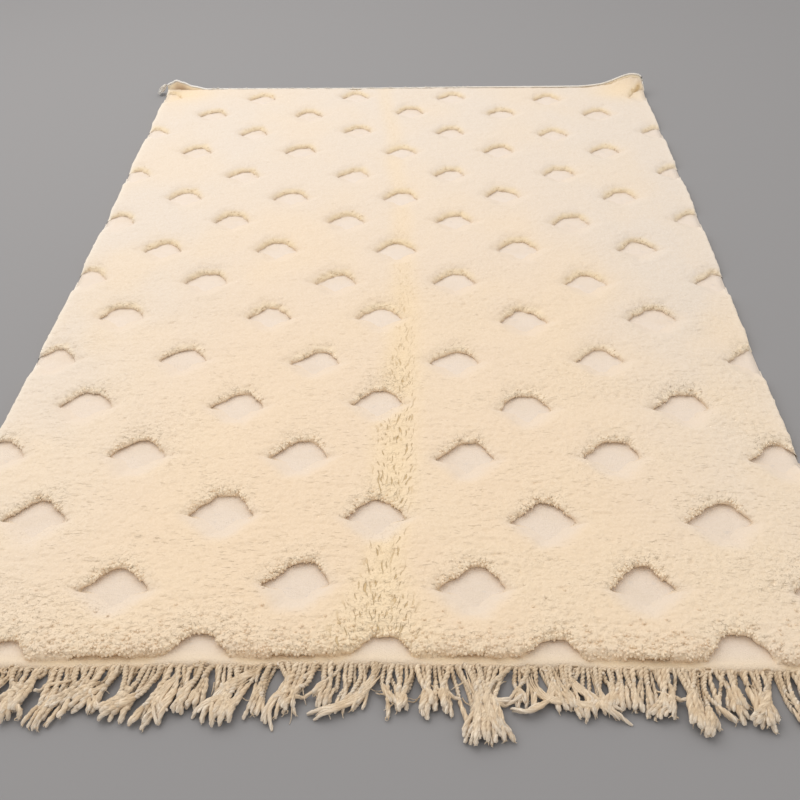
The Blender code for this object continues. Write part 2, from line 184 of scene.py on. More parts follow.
class Maker:
    """Builds a node tree of either kind, a call for each node."""

    def __init__(self, tree: bpy.types.NodeTree) -> None:
        """Keeps the tree."""
        self.tree = tree

    @classmethod
    def group(cls, name: str, kind: str, inputs: dict[str, str], outputs: dict[str, str]) -> tuple:
        """Starts a node group.

        Args:
            name: The group's name.
            kind: The tree's type.
            inputs: The kind of socket of each named input.
            outputs: The kind of socket of each named output.

        Returns:
            The new tree's maker, the fields of its inputs and the sockets of its outputs by name.
        """
        made = cls(bpy.data.node_groups.new(name, kind))
        for way, sockets in (("INPUT", inputs), ("OUTPUT", outputs)):
            for label, socket in sockets.items():
                made.tree.interface.new_socket(label, in_out=way, socket_type=f"NodeSocket{socket}")
        given = made.tree.nodes.new("NodeGroupInput").outputs
        results = made.tree.nodes.new("NodeGroupOutput").inputs
        return made, [Field(made, given[label]) for label in inputs], results

    def feed(self, socket: bpy.types.NodeSocket, value: object) -> None:
        """Links a field to a socket, or sets the socket's constant."""
        if isinstance(value, Field):
            self.tree.links.new(value.socket, socket)
        else:
            socket.default_value = value

    def node(self, kind: str, inputs: Inputs = (), **settings: object) -> bpy.types.Node:
        """Adds a node.

        Args:
            kind: The node's type.
            inputs: What goes into its sockets, by their names or in their order.
            settings: Its other properties.

        Returns:
            The node.
        """
        made = self.tree.nodes.new(kind)
        for name, value in settings.items():
            setattr(made, name, value)
        if isinstance(inputs, dict):
            fed = [(in_use(made.inputs, name), value) for name, value in inputs.items()]
        else:
            fed = zip(made.inputs, inputs)
        for socket, value in fed:
            self.feed(socket, value)
        return made

    def out(self, kind: str, inputs: Inputs = (), name: str = "", **settings: object) -> Field:
        """Adds a node, as `node` does, and gives the output of that name, or else its first output."""
        outputs = self.node(kind, inputs, **settings).outputs
        return Field(self, in_use(outputs, name) if name else outputs[0])

    def math(self, operation: str, *values: object) -> Field:
        """The result of one Math node."""
        return self.out("ShaderNodeMath", values, operation=operation)

    def vector(self, operation: str, *values: object) -> Field:
        """The vector that one Vector Math node puts out."""
        return self.out("ShaderNodeVectorMath", values, operation=operation)

    def scaled(self, vector: object, size: object) -> Field:
        """A vector times a number."""
        return self.out("ShaderNodeVectorMath", {"Vector": vector, "Scale": size}, operation="SCALE")

    def joined(self, *parts: object) -> Field:
        """A vector from its three parts."""
        return self.out("ShaderNodeCombineXYZ", parts)

    def parts(self, vector: object) -> list[Field]:
        """The three parts of a vector."""
        return [Field(self, socket) for socket in self.node("ShaderNodeSeparateXYZ", (vector,)).outputs]

    def ramp(self, value: object, low: object, high: object, first: float = 0.0, last: float = 1.0) -> Field:
        """An even S from `first` where the value is `low` to `last` where it is `high`."""
        inputs = {"Value": value, "From Min": low, "From Max": high, "To Min": first, "To Max": last}
        return self.out("ShaderNodeMapRange", inputs, "Result", interpolation_type="SMOOTHSTEP")

    def blend(self, share: object, first: object, last: object, kind: str = "RGBA") -> Field:
        """One colour or number that turns into another as the share goes from 0 to 1."""
        first, last = ((*value, 1.0) if isinstance(value, tuple) else value for value in (first, last))
        return self.out("ShaderNodeMix", {"Factor": share, "A": first, "B": last}, "Result", data_type=kind)

    def noise(self, place: object, size: Size, detail: float = 2.0, name: str = "") -> Field:
        """Noise from 0 to 1 whose bumps have that size along each axis."""
        inputs = {"Vector": self.stretched(place, size), "Scale": 1.0, "Detail": detail}
        return self.out("ShaderNodeTexNoise", inputs, name)

    def cells(self, place: object, size: Size, feature: str = "F1", **inputs: float) -> Field:
        """Distances within a pattern of cells in the floor plan that have that size along each axis."""
        given = {"Vector": self.stretched(place, size), "Scale": 1.0, **inputs}
        return self.out("ShaderNodeTexVoronoi", given, "Distance", voronoi_dimensions="2D", feature=feature)

    def stretched(self, place: object, size: Size) -> Field:
        """Places counted in steps of that size along each axis."""
        return self.vector("MULTIPLY", place, tuple(1.0 / step for step in size))

    def swayed(self, place: object, noise: object, reach: float) -> Field:
        """Places shifted by the colour of a noise, over that reach along each axis."""
        return self.vector("ADD", place, self.scaled(self.vector("SUBTRACT", noise, (0.5, 0.5, 0.5)), reach))

    def attribute(self, name: str, kind: str = "FLOAT") -> Field:
        """A mesh attribute, in a tree of either kind."""
        if self.tree.type == "GEOMETRY":
            return self.out("GeometryNodeInputNamedAttribute", {"Name": name}, "Attribute", data_type=kind)
        output = "Fac" if kind == "FLOAT" else "Vector"
        return self.out("ShaderNodeAttribute", (), output, attribute_name=name)

    def kept(self, geometry: object, name: str, value: object, kind: str = "FLOAT") -> Field:
        """The geometry with a value kept on its points as an attribute of that name."""
        inputs = {"Geometry": geometry, "Name": name, "Value": value}
        return self.out("GeometryNodeStoreNamedAttribute", inputs, data_type=kind, domain="POINT")


# ---- mesh helpers ----


def linked(name: str, data: bpy.types.ID) -> bpy.types.Object:
    """A new object in the scene that holds this data."""
    made = bpy.data.objects.new(name, data)
    bpy.context.scene.collection.objects.link(made)
    return made


def grid_faces(rows: int, columns: int) -> Array:
    """The four vertex numbers of each face of a grid whose vertices run row by row."""
    numbers = np.arange(rows * columns).reshape(rows, columns)
    corners = (numbers[:-1, :-1], numbers[:-1, 1:], numbers[1:, 1:], numbers[1:, :-1])
    return np.stack(corners, axis=-1).reshape(-1, 4)


def mesh_object(name: str, points: Array, faces: Array, attributes: dict[str, Array]) -> bpy.types.Object:
    """A smooth mesh object.

    Args:
        name: The object's name.
        points: One row for each vertex.
        faces: One row of vertex numbers for each face, all with as many corners.
        attributes: Numbers or vectors to keep on the vertices.

    Returns:
        The object, linked to the scene.
    """
    data = bpy.data.meshes.new(name)
    data.vertices.add(len(points))
    data.vertices.foreach_set("co", np.ascontiguousarray(points, np.float32).ravel())
    data.loops.add(faces.size)
    data.loops.foreach_set("vertex_index", np.ascontiguousarray(faces, np.int32).ravel())
    data.polygons.add(len(faces))
    data.polygons.foreach_set("loop_start", np.arange(0, faces.size, faces.shape[1], dtype=np.int32))
    data.update(calc_edges=True)
    data.validate()
    for label, values in attributes.items():
        kind, slot = ("FLOAT_VECTOR", "vector") if values.ndim == 2 else ("FLOAT", "value")
        made = data.attributes.new(label, kind, "POINT")
        made.data.foreach_set(slot, np.ascontiguousarray(values, np.float32).ravel())
    data.shade_smooth()
    return linked(name, data)


def yarn_object(name: str, routes: Sequence[Route]) -> bpy.types.Object:
    """A curve object with one open run for each route."""
    curve = bpy.data.curves.new(name, "CURVE")
    curve.dimensions = "3D"
    curve.twist_mode = "Z_UP"
    for route in routes:
        spline = curve.splines.new("POLY")
        spline.points.add(len(route) - 1)
        for point, (place, thickness) in zip(spline.points, route):
            point.co = (*place, 1.0)
            point.radius = thickness
    return linked(name, curve)


def grown(obj: bpy.types.Object, tree: bpy.types.NodeTree, values: dict[str, object]) -> bpy.types.Object:
    """Runs a node tree on an object and keeps the result as a plain mesh object of the same name.

    Args:
        obj: What the tree starts from. It is removed.
        tree: The Geometry Nodes tree.
        values: What goes into the tree's named inputs.

    Returns:
        The new object.
    """
    modifier = obj.modifiers.new(tree.name, "NODES")
    modifier.node_group = tree
    sockets = {item.name: item.identifier for item in tree.interface.items_tree if item.in_out == "INPUT"}
    for name, value in values.items():
        modifier[sockets[name]] = value
    bpy.context.view_layer.update()
    data = bpy.data.meshes.new_from_object(obj.evaluated_get(bpy.context.evaluated_depsgraph_get()))
    name = obj.name
    bpy.data.objects.remove(obj)
    data.name = name
    return linked(name, data)


def joined(name: str, objects: Sequence[bpy.types.Object]) -> bpy.types.Object:
    """Several mesh objects as one object of that name."""
    with bpy.context.temp_override(active_object=objects[0], selected_editable_objects=list(objects)):
        bpy.ops.object.join()
    objects[0].name = objects[0].data.name = name
    return objects[0]


def finished(obj: bpy.types.Object, slot: Slot, *nodes: str) -> bpy.types.Object:
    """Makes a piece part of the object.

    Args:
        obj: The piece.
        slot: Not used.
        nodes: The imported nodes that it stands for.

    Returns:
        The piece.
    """
    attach(obj, ROOT_BODY)
    if nodes:
        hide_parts(*nodes)
    log.info("%s: %d triangles", obj.name, sum(len(face.vertices) - 2 for face in obj.data.polygons))
    return obj


# ---- the rug's plan ----


@dataclass(frozen=True)
class Curl:
    """A curled far corner: `side` is -1 left or 1 right."""

    side: int
    across: float
    along: float
    lift: float


@dataclass(frozen=True)
class LipHeight:
    """How high the far lip's top is at a place across the rug."""

    x: float
    height: float


@dataclass(frozen=True)
class RugPlan:
    """The outline, folds and curls of the cloth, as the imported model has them."""

    far: float
    length: float = 2690 * MM
    half_width: float = 852 * MM
    ground: float = 4 * MM
    pile_top: float = 20 * MM
    near_bare: float = 19 * MM
    left_stray: tuple[float, ...] = in_mm(-6, -9, -6, 3, 18, 30)
    right_stray: tuple[float, ...] = in_mm(0, 4, 2, 6, 2, -6)
    fold_stray: tuple[float, ...] = in_mm(5, 20, 27, 5, -33, -85)
    near_stray: tuple[float, ...] = in_mm(-14, -9, 1, 7, 6, 1, -2)
    curls: tuple[Curl, ...] = (Curl(-1, 130 * MM, 110 * MM, 7 * MM), Curl(1, 250 * MM, 160 * MM, 46 * MM))
    curl_power: float = 1.7
    lip_heights: tuple[LipHeight, ...] = tuple(
        LipHeight(*in_mm(x, height))
        for x, height in (
            (-885, 22), (-864, 34), (-846, 44), (-824, 38), (-788, 25), (-735, 15),
            (-200, 14), (250, 17), (690, 18), (790, 33), (822, 31), (852, 13),
        )
    )
    lip_thickness: float = 4 * MM
    lip_inset: float = 1 * MM
    droop: float = 15 * MM
    droop_across: Span = (-52 * MM, 6 * MM)
    droop_along: Span = (-130 * MM, -10 * MM)
    yellow: float = 0.75
    yellow_middle: float = -20 * MM
    yellow_out: float = 780 * MM
    yellow_back: float = 50 * MM
    yellow_size: Span = (105 * MM, 85 * MM)

    @property
    def near(self) -> float:
        """Where the cloth starts, on average."""
        return self.far - self.length

    @property
    def lip_middle(self) -> float:
        """The place along the rug of the middle of the lip's thickness."""
        return self.far - self.lip_inset - self.lip_thickness / 2

    def along(self, table: Sequence[float], y: Array) -> Array:
        """The value, at places along the cloth, of a table that runs from its near end to its far end."""
        return table_at(table, (y - self.near) / self.length)

    def stray(self, x: Array) -> Array:
        """How far the near end strays towards the far end at places across the cloth."""
        return table_at(self.near_stray, x / (2 * self.half_width) + 0.5)

    def side(self, side: int, y: Array) -> Array:
        """Where the left (-1) or right (1) long edge lies at places along the cloth."""
        strays = self.left_stray if side < 0 else self.right_stray
        return side * (self.half_width + self.along(strays, y))

    def corners(self, y: float) -> tuple[float, float]:
        """Where the left and right edges lie at one place along the cloth."""
        left, right = (float(self.side(side, np.float64(y))) for side in (-1, 1))
        return left, right

    def across(self, share: Array, y: Array) -> Array:
        """Places at shares of the cloth's width, from its left edge to its right edge."""
        left, right = self.side(-1, y), self.side(1, y)
        return left + (right - left) * share

    def inside(self, x: Array, y: Array) -> Array:
        """How far places lie inside the nearer long edge."""
        return np.minimum(x - self.side(-1, y), self.side(1, y) - x)

    def lift(self, x: Array, y: Array) -> Array:
        """How far the curled corners raise the cloth off the floor."""
        ends = self.corners(self.far)
        total = np.zeros(np.broadcast(x, y).shape)
        for curl in self.curls:
            inward = (ends[curl.side > 0] - x) * curl.side / curl.across
            nearer = (self.far - y) / curl.along
            past_fold = 1.0 - np.maximum(inward, 0.0) - np.maximum(nearer, 0.0)
            total = total + curl.lift * np.maximum(past_fold, 0.0) ** self.curl_power
        (left_end, right_end), (start, end) = self.droop_across, self.droop_along
        tip = smooth_step(x, ends[1] + left_end, ends[1] + right_end)
        return total - self.droop * (tip * smooth_step(y, self.far + start, self.far + end))

    def yellowed(self, x: Array, y: Array) -> Array:
        """How far the cloth yellows at both far corners."""
        outward, back = np.abs(x - self.yellow_middle) - self.yellow_out, y - (self.far - self.yellow_back)
        return self.yellow * bell((outward, self.yellow_size[0]), (back, self.yellow_size[1]))

    def lip_top(self, x: Array) -> Array:
        """The height of the lip's top over the floor, with the corners curled."""
        height = np.full(np.shape(x), self.lip_heights[0].height)
        for before, after in zip(self.lip_heights, self.lip_heights[1:]):
            height = height + (after.height - before.height) * smooth_step(x, before.x, after.x)
        return height + self.lift(x, np.full(np.shape(x), self.lip_middle))


@dataclass(frozen=True)
class RecessRow:
    """A row of recesses, in millimetres from the near end, with each one's stray to the right and onward."""

    along: float
    reach: float
    strays: tuple[tuple[float, float], ...]


@dataclass(frozen=True)
class RecessPattern:
    """The staggered recesses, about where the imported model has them, each as uneven as the hand left it."""

    plan: RugPlan
    pitch: float = 331.4 * MM
    shift: float = -11.6 * MM
    depth_share: float = 0.9
    flat_shares: tuple[float, float] = (0.15, 0.33)
    lopsided: tuple[float, float] = (-0.05, 0.17)
    unevenness: float = 0.05
    seed: int = 16
    softness: float = 2.2 * MM
    outer: float = 60 * MM
    rows: tuple[RecessRow, ...] = (
        RecessRow(-2, 66, ((35, -12), (41, 9), (30, 8), (-12, 4), (-27, 22))),
        RecessRow(168, 68, ((0, 4), (33, -3), (29, 16), (21, 7), (-2, 10), (0, 5))),
        RecessRow(347, 69, ((-4, 4), (30, 22), (3, 18), (1, 7), (8, 11))),
        RecessRow(545, 66, ((16, 6), (-14, 9), (-3, 8), (15, 3), (-11, 11), (0, 5))),
        RecessRow(719, 66, ((-4, 10), (9, 11), (-12, 24), (-13, 3), (-1, 10))),
        RecessRow(907, 64, ((34, 4), (16, 9), (0, -4), (-4, 1), (4, 8), (31, 9))),
        RecessRow(1100, 66, ((-11, 5), (33, 6), (-21, 5), (5, -12), (-10, 0))),
        RecessRow(1275, 64, ((14, 23), (8, 5), (18, 3), (1, 5), (10, 0), (16, 5))),
        RecessRow(1455, 64, ((22, 0), (8, 0), (8, 0), (12, 6), (6, 6))),
        RecessRow(1624, 62, ((17, 4), (23, 6), (24, 6), (3, 6), (3, -9), (23, 10))),
        RecessRow(1782, 60, ((23, 4), (12, 0), (11, 0), (-16, 14), (-1, 0))),
        RecessRow(1933, 58, ((-2, 15), (12, 7), (23, 7), (-11, 15), (-1, 15), (21, 27))),
        RecessRow(2118, 57, ((-1, 8), (7, 8), (5, 0), (-15, 8), (-6, 4))),
        RecessRow(2260, 56, ((-5, 26), (-2, 17), (17, 32), (-4, 17), (6, 0), (19, 17))),
        RecessRow(2426, 56, ((-1, 18), (5, 9), (23, 34), (7, 18), (5, 9))),
        RecessRow(2568, 56, ((-24, 45), (-14, 26), (-9, 42), (2, 29), (9, 10), (21, 34))),
    )

    def outlines(self) -> Iterator[tuple[Array, Array]]:
        """The middle and the six corners of every recess, row by row from the near end."""
        shuffle = random.Random(self.seed)
        for row in self.rows:
            for index, (rightward, onward) in enumerate(row.strays):
                x = self.shift + (index - (len(row.strays) - 1) / 2) * self.pitch + rightward * MM
                middle = np.array((x, self.plan.near + (row.along + onward) * MM))
                yield middle, middle + self.corners(row.reach * MM, shuffle)

    def corners(self, reach: float, shuffle: random.Random) -> Array:
        """Six corners about a recess's middle, with a hand's unevenness."""
        depth = reach * self.depth_share
        far_flat = reach * shuffle.uniform(*self.flat_shares)
        near_flat = reach * shuffle.uniform(*self.flat_shares)
        aside = reach * shuffle.uniform(*self.lopsided)
        even = (
            (reach, 0.0),
            (aside + far_flat, depth),
            (aside - far_flat, depth),
            (-reach, 0.0),
            (-near_flat, -depth),
            (near_flat, -depth),
        )
        return np.array(even) * [[shuffle.uniform(1 - self.unevenness, 1 + self.unevenness)] for _ in even]

    def distance(self, x: Array, y: Array) -> tuple[Array, Array, Array]:
        """How far places lie outside the nearest recess.

        Args:
            x: Places across the rug.
            y: Places along the rug.

        Returns:
            The distances, below 0 inside a recess and at most `outer`, the unit directions away from it, and
            the places' shares of the recess's width, from -1 at its left corner to 1 at its right one.
        """
        distances = np.full(x.shape, self.outer)
        away = np.zeros((*x.shape, 2))
        sideways = np.zeros(x.shape)
        for middle, corners in self.outlines():
            window = np.abs(corners - middle).max() + self.outer
            near = np.nonzero((np.abs(x - middle[0]) < window) & (np.abs(y - middle[1]) < window))
            if not len(near[0]):
                continue
            place = np.stack((x[near], y[near]), axis=-1)
            run = np.roll(corners, -1, axis=0) - corners
            outward = np.stack((run[:, 1], -run[:, 0]), axis=-1) / np.linalg.norm(run, axis=1)[:, None]
            past = np.einsum("pk,sk->ps", place, outward) - (corners * outward).sum(1)
            highest = past.max(1)
            weights = np.exp((past - highest[:, None]) / self.softness)
            found = highest + self.softness * np.log(weights.sum(1))
            direction = weights @ outward
            direction /= np.maximum(np.linalg.norm(direction, axis=1), 1e-9)[:, None]
            nearer = found < distances[near]
            chosen = tuple(index[nearer] for index in near)
            distances[chosen] = found[nearer]
            away[chosen] = direction[nearer]
            sideways[chosen] = (place[nearer, 0] - middle[0]) / np.abs(corners[:, 0] - middle[0]).max()
        return distances, away, sideways


# ---- finishes ----


def wool_group() -> bpy.types.NodeTree:
    """The shader group that every woollen finish uses: fibres on small tufts, as a tone and a height."""
    sockets = {"Vector": "Vector", "Fibre": "Float", "Tuft": "Float"}
    out = {"Tone": "Float", "Height": "Float"}
    made, (place, fibre, tuft), results = Maker.group("wool_fibre", "ShaderNodeTree", sockets, out)
    fibre_place = {"Vector": made.scaled(place, 1.0 / fibre), "Scale": 1.0, "Detail": 3.0}
    fine = made.out("ShaderNodeTexNoise", fibre_place)
    tuft_place = {"Vector": made.scaled(place, 1.0 / tuft), "Scale": 1.0}
    gap = made.ramp(made.out("ShaderNodeTexVoronoi", tuft_place, "Distance", feature="F1"), 0.25, 0.75)
    for name, gap_share, fine_share in (("Tone", -0.7, 1.2), ("Height", -0.8, 0.7)):
        made.feed(results[name], gap.times_plus(gap_share, fine * fine_share))
    return made.tree


@dataclass(frozen=True)
class WoolFinish:
    """What all woollen finishes share: their fibres, their softness and the sheen at glancing angles."""

    name: str
    fibre: float
    tuft: float
    relief: float
    roughness: float = 0.95
    specular: float = 0.15
    sheen: float = 0.12
    sheen_roughness: float = 0.6
    grain: float = 0.1

    def material(self, wool: bpy.types.NodeTree) -> bpy.types.Material:
        """The material.

        Args:
            wool: The shared group.

        Returns:
            The material, with the finish's own colour and relief.
        """
        made = bpy.data.materials.new(self.name)
        made.use_nodes = True
        maker = Maker(made.node_tree)
        place = maker.out("ShaderNodeTexCoord", (), "Object")
        given = {"Vector": place, "Fibre": self.fibre, "Tuft": self.tuft}
        tone, fibres = (
            Field(maker, socket) for socket in maker.node("ShaderNodeGroup", given, node_tree=wool).outputs
        )
        colour, height = self.look(maker, place, tone, fibres)
        bump = {"Height": height, "Distance": self.relief, "Strength": 1.0}
        inputs = {
            "Base Color": colour,
            "Roughness": self.roughness,
            "Specular IOR Level": self.specular,
            "Sheen Weight": self.sheen,
            "Sheen Roughness": self.sheen_roughness,
            "Normal": maker.out("ShaderNodeBump", bump, "Normal"),
        }
        for name, value in inputs.items():
            maker.feed(made.node_tree.nodes["Principled BSDF"].inputs[name], value)
        return made

    def look(self, maker: Maker, place: Field, tone: Field, fibres: Field) -> tuple[Field, Field]:
        """The finish's own look.

        Args:
            maker: The material's maker.
            place: The surface's places.
            tone: The fibres' tone, least where they are darkest.
            fibres: The fibres' height.

        Returns:
            The colour and the height.
        """
        raise NotImplementedError

    def grained(self, maker: Maker, colour: object, tone: Field, dark: Colour) -> Field:
        """A colour darkened a little by the fibres' uneven tone and painted shade between the tufts."""
        share = maker.ramp(tone, -0.1, 0.7).times_plus(-self.grain, self.grain)
        return maker.blend(share, colour, dark)


def streaks(maker: Maker, place: object, size: Span, low: float, high: float) -> Field:
    """Thin tapered streaks in the floor plan.

    Args:
        maker: The maker of a tree of either kind.
        place: Places in the floor plan.
        size: About how far apart the streaks lie, across and along the rug.
        low: The noise at a streak's edge.
        high: The noise at its core.

    Returns:
        1 in the core of a streak and 0 beside it.
    """
    inputs = {"Vector": place, "Scale": 28.0, "Detail": 1.0}
    swayed = maker.swayed(place, maker.out("ShaderNodeTexNoise", inputs, "Color"), 17 * MM)
    return maker.ramp(maker.noise(swayed, (*size, 1.0), 1.0), low, high)


def partings(maker: Maker, place: object) -> Field:
    """The gaps along the fold where the pile parts: upright in its middle and leaning to it at its sides."""
    lean = 0.2
    x, y, _ = maker.parts(place)
    gaps = streaks(maker, place, in_mm(4.8, 36), 0.59, 0.67)
    for side in (-1.0, 1.0):
        slanted = maker.joined(y.times_plus(-lean * side, x), y, side)
        leaning = streaks(maker, slanted, in_mm(5.2, 34), 0.58, 0.66)
        share = maker.ramp(maker.attribute("aside") * side, 0.08, 0.3)
        gaps = maker.blend(share, gaps, leaning, "FLOAT")
    return gaps * maker.attribute("parted")


@dataclass(frozen=True)
class PileFinish(WoolFinish):
    """The cream pile: paler towards the far end, yellower along the fold, with painted shade between its
    clumps.
    """

    near: Colour = (0.765, 0.594, 0.425)
    far: Colour = (0.701, 0.611, 0.524)
    warm: Colour = (0.765, 0.612, 0.445)
    # curled and glow: a warm bright tint, partly the fluffy tufts' own tone and partly a painted glow on the
    # rims
    curled: Colour = (0.95, 0.80, 0.60)
    glow: Colour = (0.78, 0.62, 0.38)
    folded: Colour = (0.82, 0.63, 0.39)
    # parted: painted shade in the partings along the fold, the gaps between tufts and knot rows and the
    # fibres
    parted: Colour = (0.46, 0.30, 0.12)
    # hollow_shade: painted shade, the colour of the dark line at each wall's foot and of the hollows between
    # clumps
    hollow_shade: Colour = (0.54, 0.36, 0.16)
    # lip: painted shade on the gentle lips at the near side of the recesses, toned to the shaded floor
    lip: Colour = (0.715, 0.595, 0.485)
    # edge_highlight: painted highlight where the light catches the long edges, stronger on the left
    edge_highlight: Colour = (0.90, 0.83, 0.73)
    cloud_size: Size = (0.30, 0.42, 1.0)
    tuft_size: Size = (7.6 * MM, 7.0 * MM, 1.0)
    gap_patches: Size = (10 * MM, 8 * MM, 1.0)
    level_size: Span = (19 * MM, 4 * MM)
    level_patches: Size = (110 * MM, 60 * MM, 1.0)
    fold_share: float = 0.75
    parted_share: float = 0.72
    gap_share: float = 0.34

    def tufts(self, maker: Maker, knot: Field, fluff: Field) -> tuple[Field, Field]:
        """The small round tufts where the pile is fluffy.

        Args:
            maker: The material's maker.
            knot: Where the pile is knotted into the ground.
            fluff: How fluffy it is.

        Returns:
            The gaps between some of them, where shade is painted, and their domes, both from 0 to 1.
        """
        edge = maker.cells(knot, self.tuft_size, "DISTANCE_TO_EDGE")
        gap = maker.ramp(edge, 0.0, 0.14, 1.0, 0.0) * maker.ramp(fluff, 0.15, 0.9, 0.0, 0.7)
        gap = gap * maker.ramp(maker.noise(knot, self.gap_patches), 0.48, 0.62)
        return gap, maker.ramp(edge, 0.0, 0.42) * maker.ramp(fluff, 0.25, 0.9)

    def level_gaps(self, maker: Maker, knot: Field) -> Field:
        """The hairlines of painted shade between rows of knots, from 0 to 1, faintest towards the far end."""
        level = streaks(maker, knot, self.level_size, 0.62, 0.72)
        level = level * maker.ramp(maker.noise(knot, self.level_patches), 0.4, 0.6, 0.1, 1.0)
        level = level * (1.0 - maker.attribute("parted"))
        nearness = maker.ramp(maker.parts(knot)[1], -1.0, 0.4, 1.0, 0.14) * 0.65
        return level * (nearness * (1.0 - maker.attribute("lip")))

    def look(self, maker: Maker, place: Field, tone: Field, fibres: Field) -> tuple[Field, Field]:
        """The pile's colour and height."""
        across, along, _ = maker.parts(place)
        knot = maker.attribute("knot", "FLOAT_VECTOR")
        fluff = maker.attribute("fluff")
        at_side = maker.ramp(maker.math("ABSOLUTE", across), 0.3, 0.85) * 0.45
        pale = along / 2.8 + at_side.times_plus(1.0, 0.5)
        colour = maker.blend(maker.ramp(pale, 0.0, 1.0), self.near, self.far)
        cloud = maker.ramp(maker.noise(place, self.cloud_size), 0.4, 0.68, 0.0, 0.6)
        colour = maker.blend(cloud * maker.ramp(along, -0.4, 0.8, 1.0, 0.5), colour, self.warm)
        colour = maker.blend(maker.attribute("fold") * self.fold_share, colour, self.folded)
        colour = self.grained(maker, colour, tone, self.parted)
        # painted shade on the gentle lips of the recesses, less towards the far end
        lip = maker.attribute("lip") * maker.ramp(along, -1.1, 0.3, 1.0, 0.25)
        colour = maker.blend(lip, colour, self.lip)
        # painted glow along the rims that face the near end, with the fluffy tufts' own warm tint near the
        # near end
        curled = maker.blend(maker.ramp(along, -0.6, 0.3), self.curled, self.glow)
        fluffy = fluff * maker.ramp(along, -1.0, 0.2, 0.34, 0.0)
        colour = maker.blend(maker.math("MAXIMUM", maker.attribute("rim") * 0.6, fluffy), colour, curled)
        # painted highlight along the long edges, stronger towards the far end
        edge = maker.attribute("edge") * maker.ramp(along, -1.3, -0.2, 0.2, 0.8)
        colour = maker.blend(edge, colour, self.edge_highlight)
        gaps, domes = self.tufts(maker, knot, fluff)
        gaps = maker.math("MAXIMUM", gaps, self.level_gaps(maker, knot))
        # painted shade in the partings along the fold and in the gaps between tufts and rows of knots
        upright = partings(maker, knot)
        colour = maker.blend(upright * self.parted_share, colour, self.parted)
        colour = maker.blend(gaps * self.gap_share, colour, self.parted)
        # painted shade at the feet of the walls and in the hollows between the clumps
        colour = maker.blend(maker.attribute("cavity_shade"), colour, self.hollow_shade)
        height = domes.times_plus(0.35, fibres * fluff.times_plus(0.45, 0.18))
        return colour, maker.math("MAXIMUM", gaps, upright).times_plus(-0.9, height)


@dataclass(frozen=True)
class GroundFinish(WoolFinish):
    """The bare ground weave: paler and greyer than the pile, with faint weft ribs."""

    pale: Colour = (0.755, 0.635, 0.525)
    far: Colour = (0.735, 0.636, 0.552)
    worn: Colour = (0.70, 0.575, 0.45)
    # end: painted light, a brighter strip where the pile's wall shades it; open_end: its tone in the open
    # notches
    end: Colour = (0.95, 0.775, 0.565)
    open_end: Colour = (0.78, 0.64, 0.485)
    # turned: painted light, the turned-up lip painted brighter and warmer as its face turns away from the
    # lamp
    turned: Colour = (0.97, 0.84, 0.62)
    contact_shadow: Colour = (0.50, 0.35, 0.18)
    smudge: Colour = (0.56, 0.50, 0.46)
    aged: Colour = (0.80, 0.64, 0.43)
    shade: Colour = (0.30, 0.14, 0.05)
    rib: float = 2.6 * MM
    warp_rib: float = 1.7
    bend_size: Size = (60 * MM, 14 * MM, 1.0)
    wear_size: Size = (90 * MM, 60 * MM, 1.0)
    streak_size: Size = (22 * MM, 2.4 * MM, 1.0)
    smudge_size: Size = (26 * MM, 20 * MM, 1.0)
    contact_shadow_span: Span = (-17 * MM, -6 * MM)

    def look(self, maker: Maker, place: Field, tone: Field, fibres: Field) -> tuple[Field, Field]:
        """The ground weave's colour and height."""
        x, y, _ = maker.parts(place)
        bend = maker.noise(place, self.bend_size) * 1.6
        weft = maker.math("SINE", y.times_plus(FULL_TURN / self.rib, bend * 4.0))
        warp = maker.math("SINE", x * (FULL_TURN / (self.warp_rib * self.rib)))
        ribs = (warp * 0.35).times_plus(weft, weft)
        covered = maker.attribute("covered")
        # painted contact shadow on the bare strip just in front of the pile's near edge
        front_shadow = maker.ramp(maker.attribute("start"), *self.contact_shadow_span) * covered
        coats = (
            (maker.ramp(maker.noise(place, self.streak_size), 0.45, 0.75) * 0.5, self.worn),
            (maker.ramp(maker.noise(place, self.wear_size), 0.4, 0.8, 0.0, 0.5), self.worn),
            (maker.ramp(maker.noise(place, self.smudge_size, 3.0), 0.62, 0.74, 0.0, 0.35), self.smudge),
            (maker.attribute("aged"), self.aged),
            # painted light: the near end's strip is brighter beside the pile, where the wall shades it, than
            # in the notches
            (maker.attribute("end"), maker.blend(covered, self.open_end, self.end)),
            (front_shadow * 0.4, self.contact_shadow),
            # painted light on the turned-up lip
            (maker.attribute("turned"), self.turned),
            (maker.attribute("shaded"), self.shade),
        )
        colour = maker.blend(maker.ramp(y, -1.2, 1.2), self.pale, self.far)
        for share, coat in coats:
            colour = maker.blend(share, colour, coat)
        return colour, ribs.times_plus(0.22, fibres)


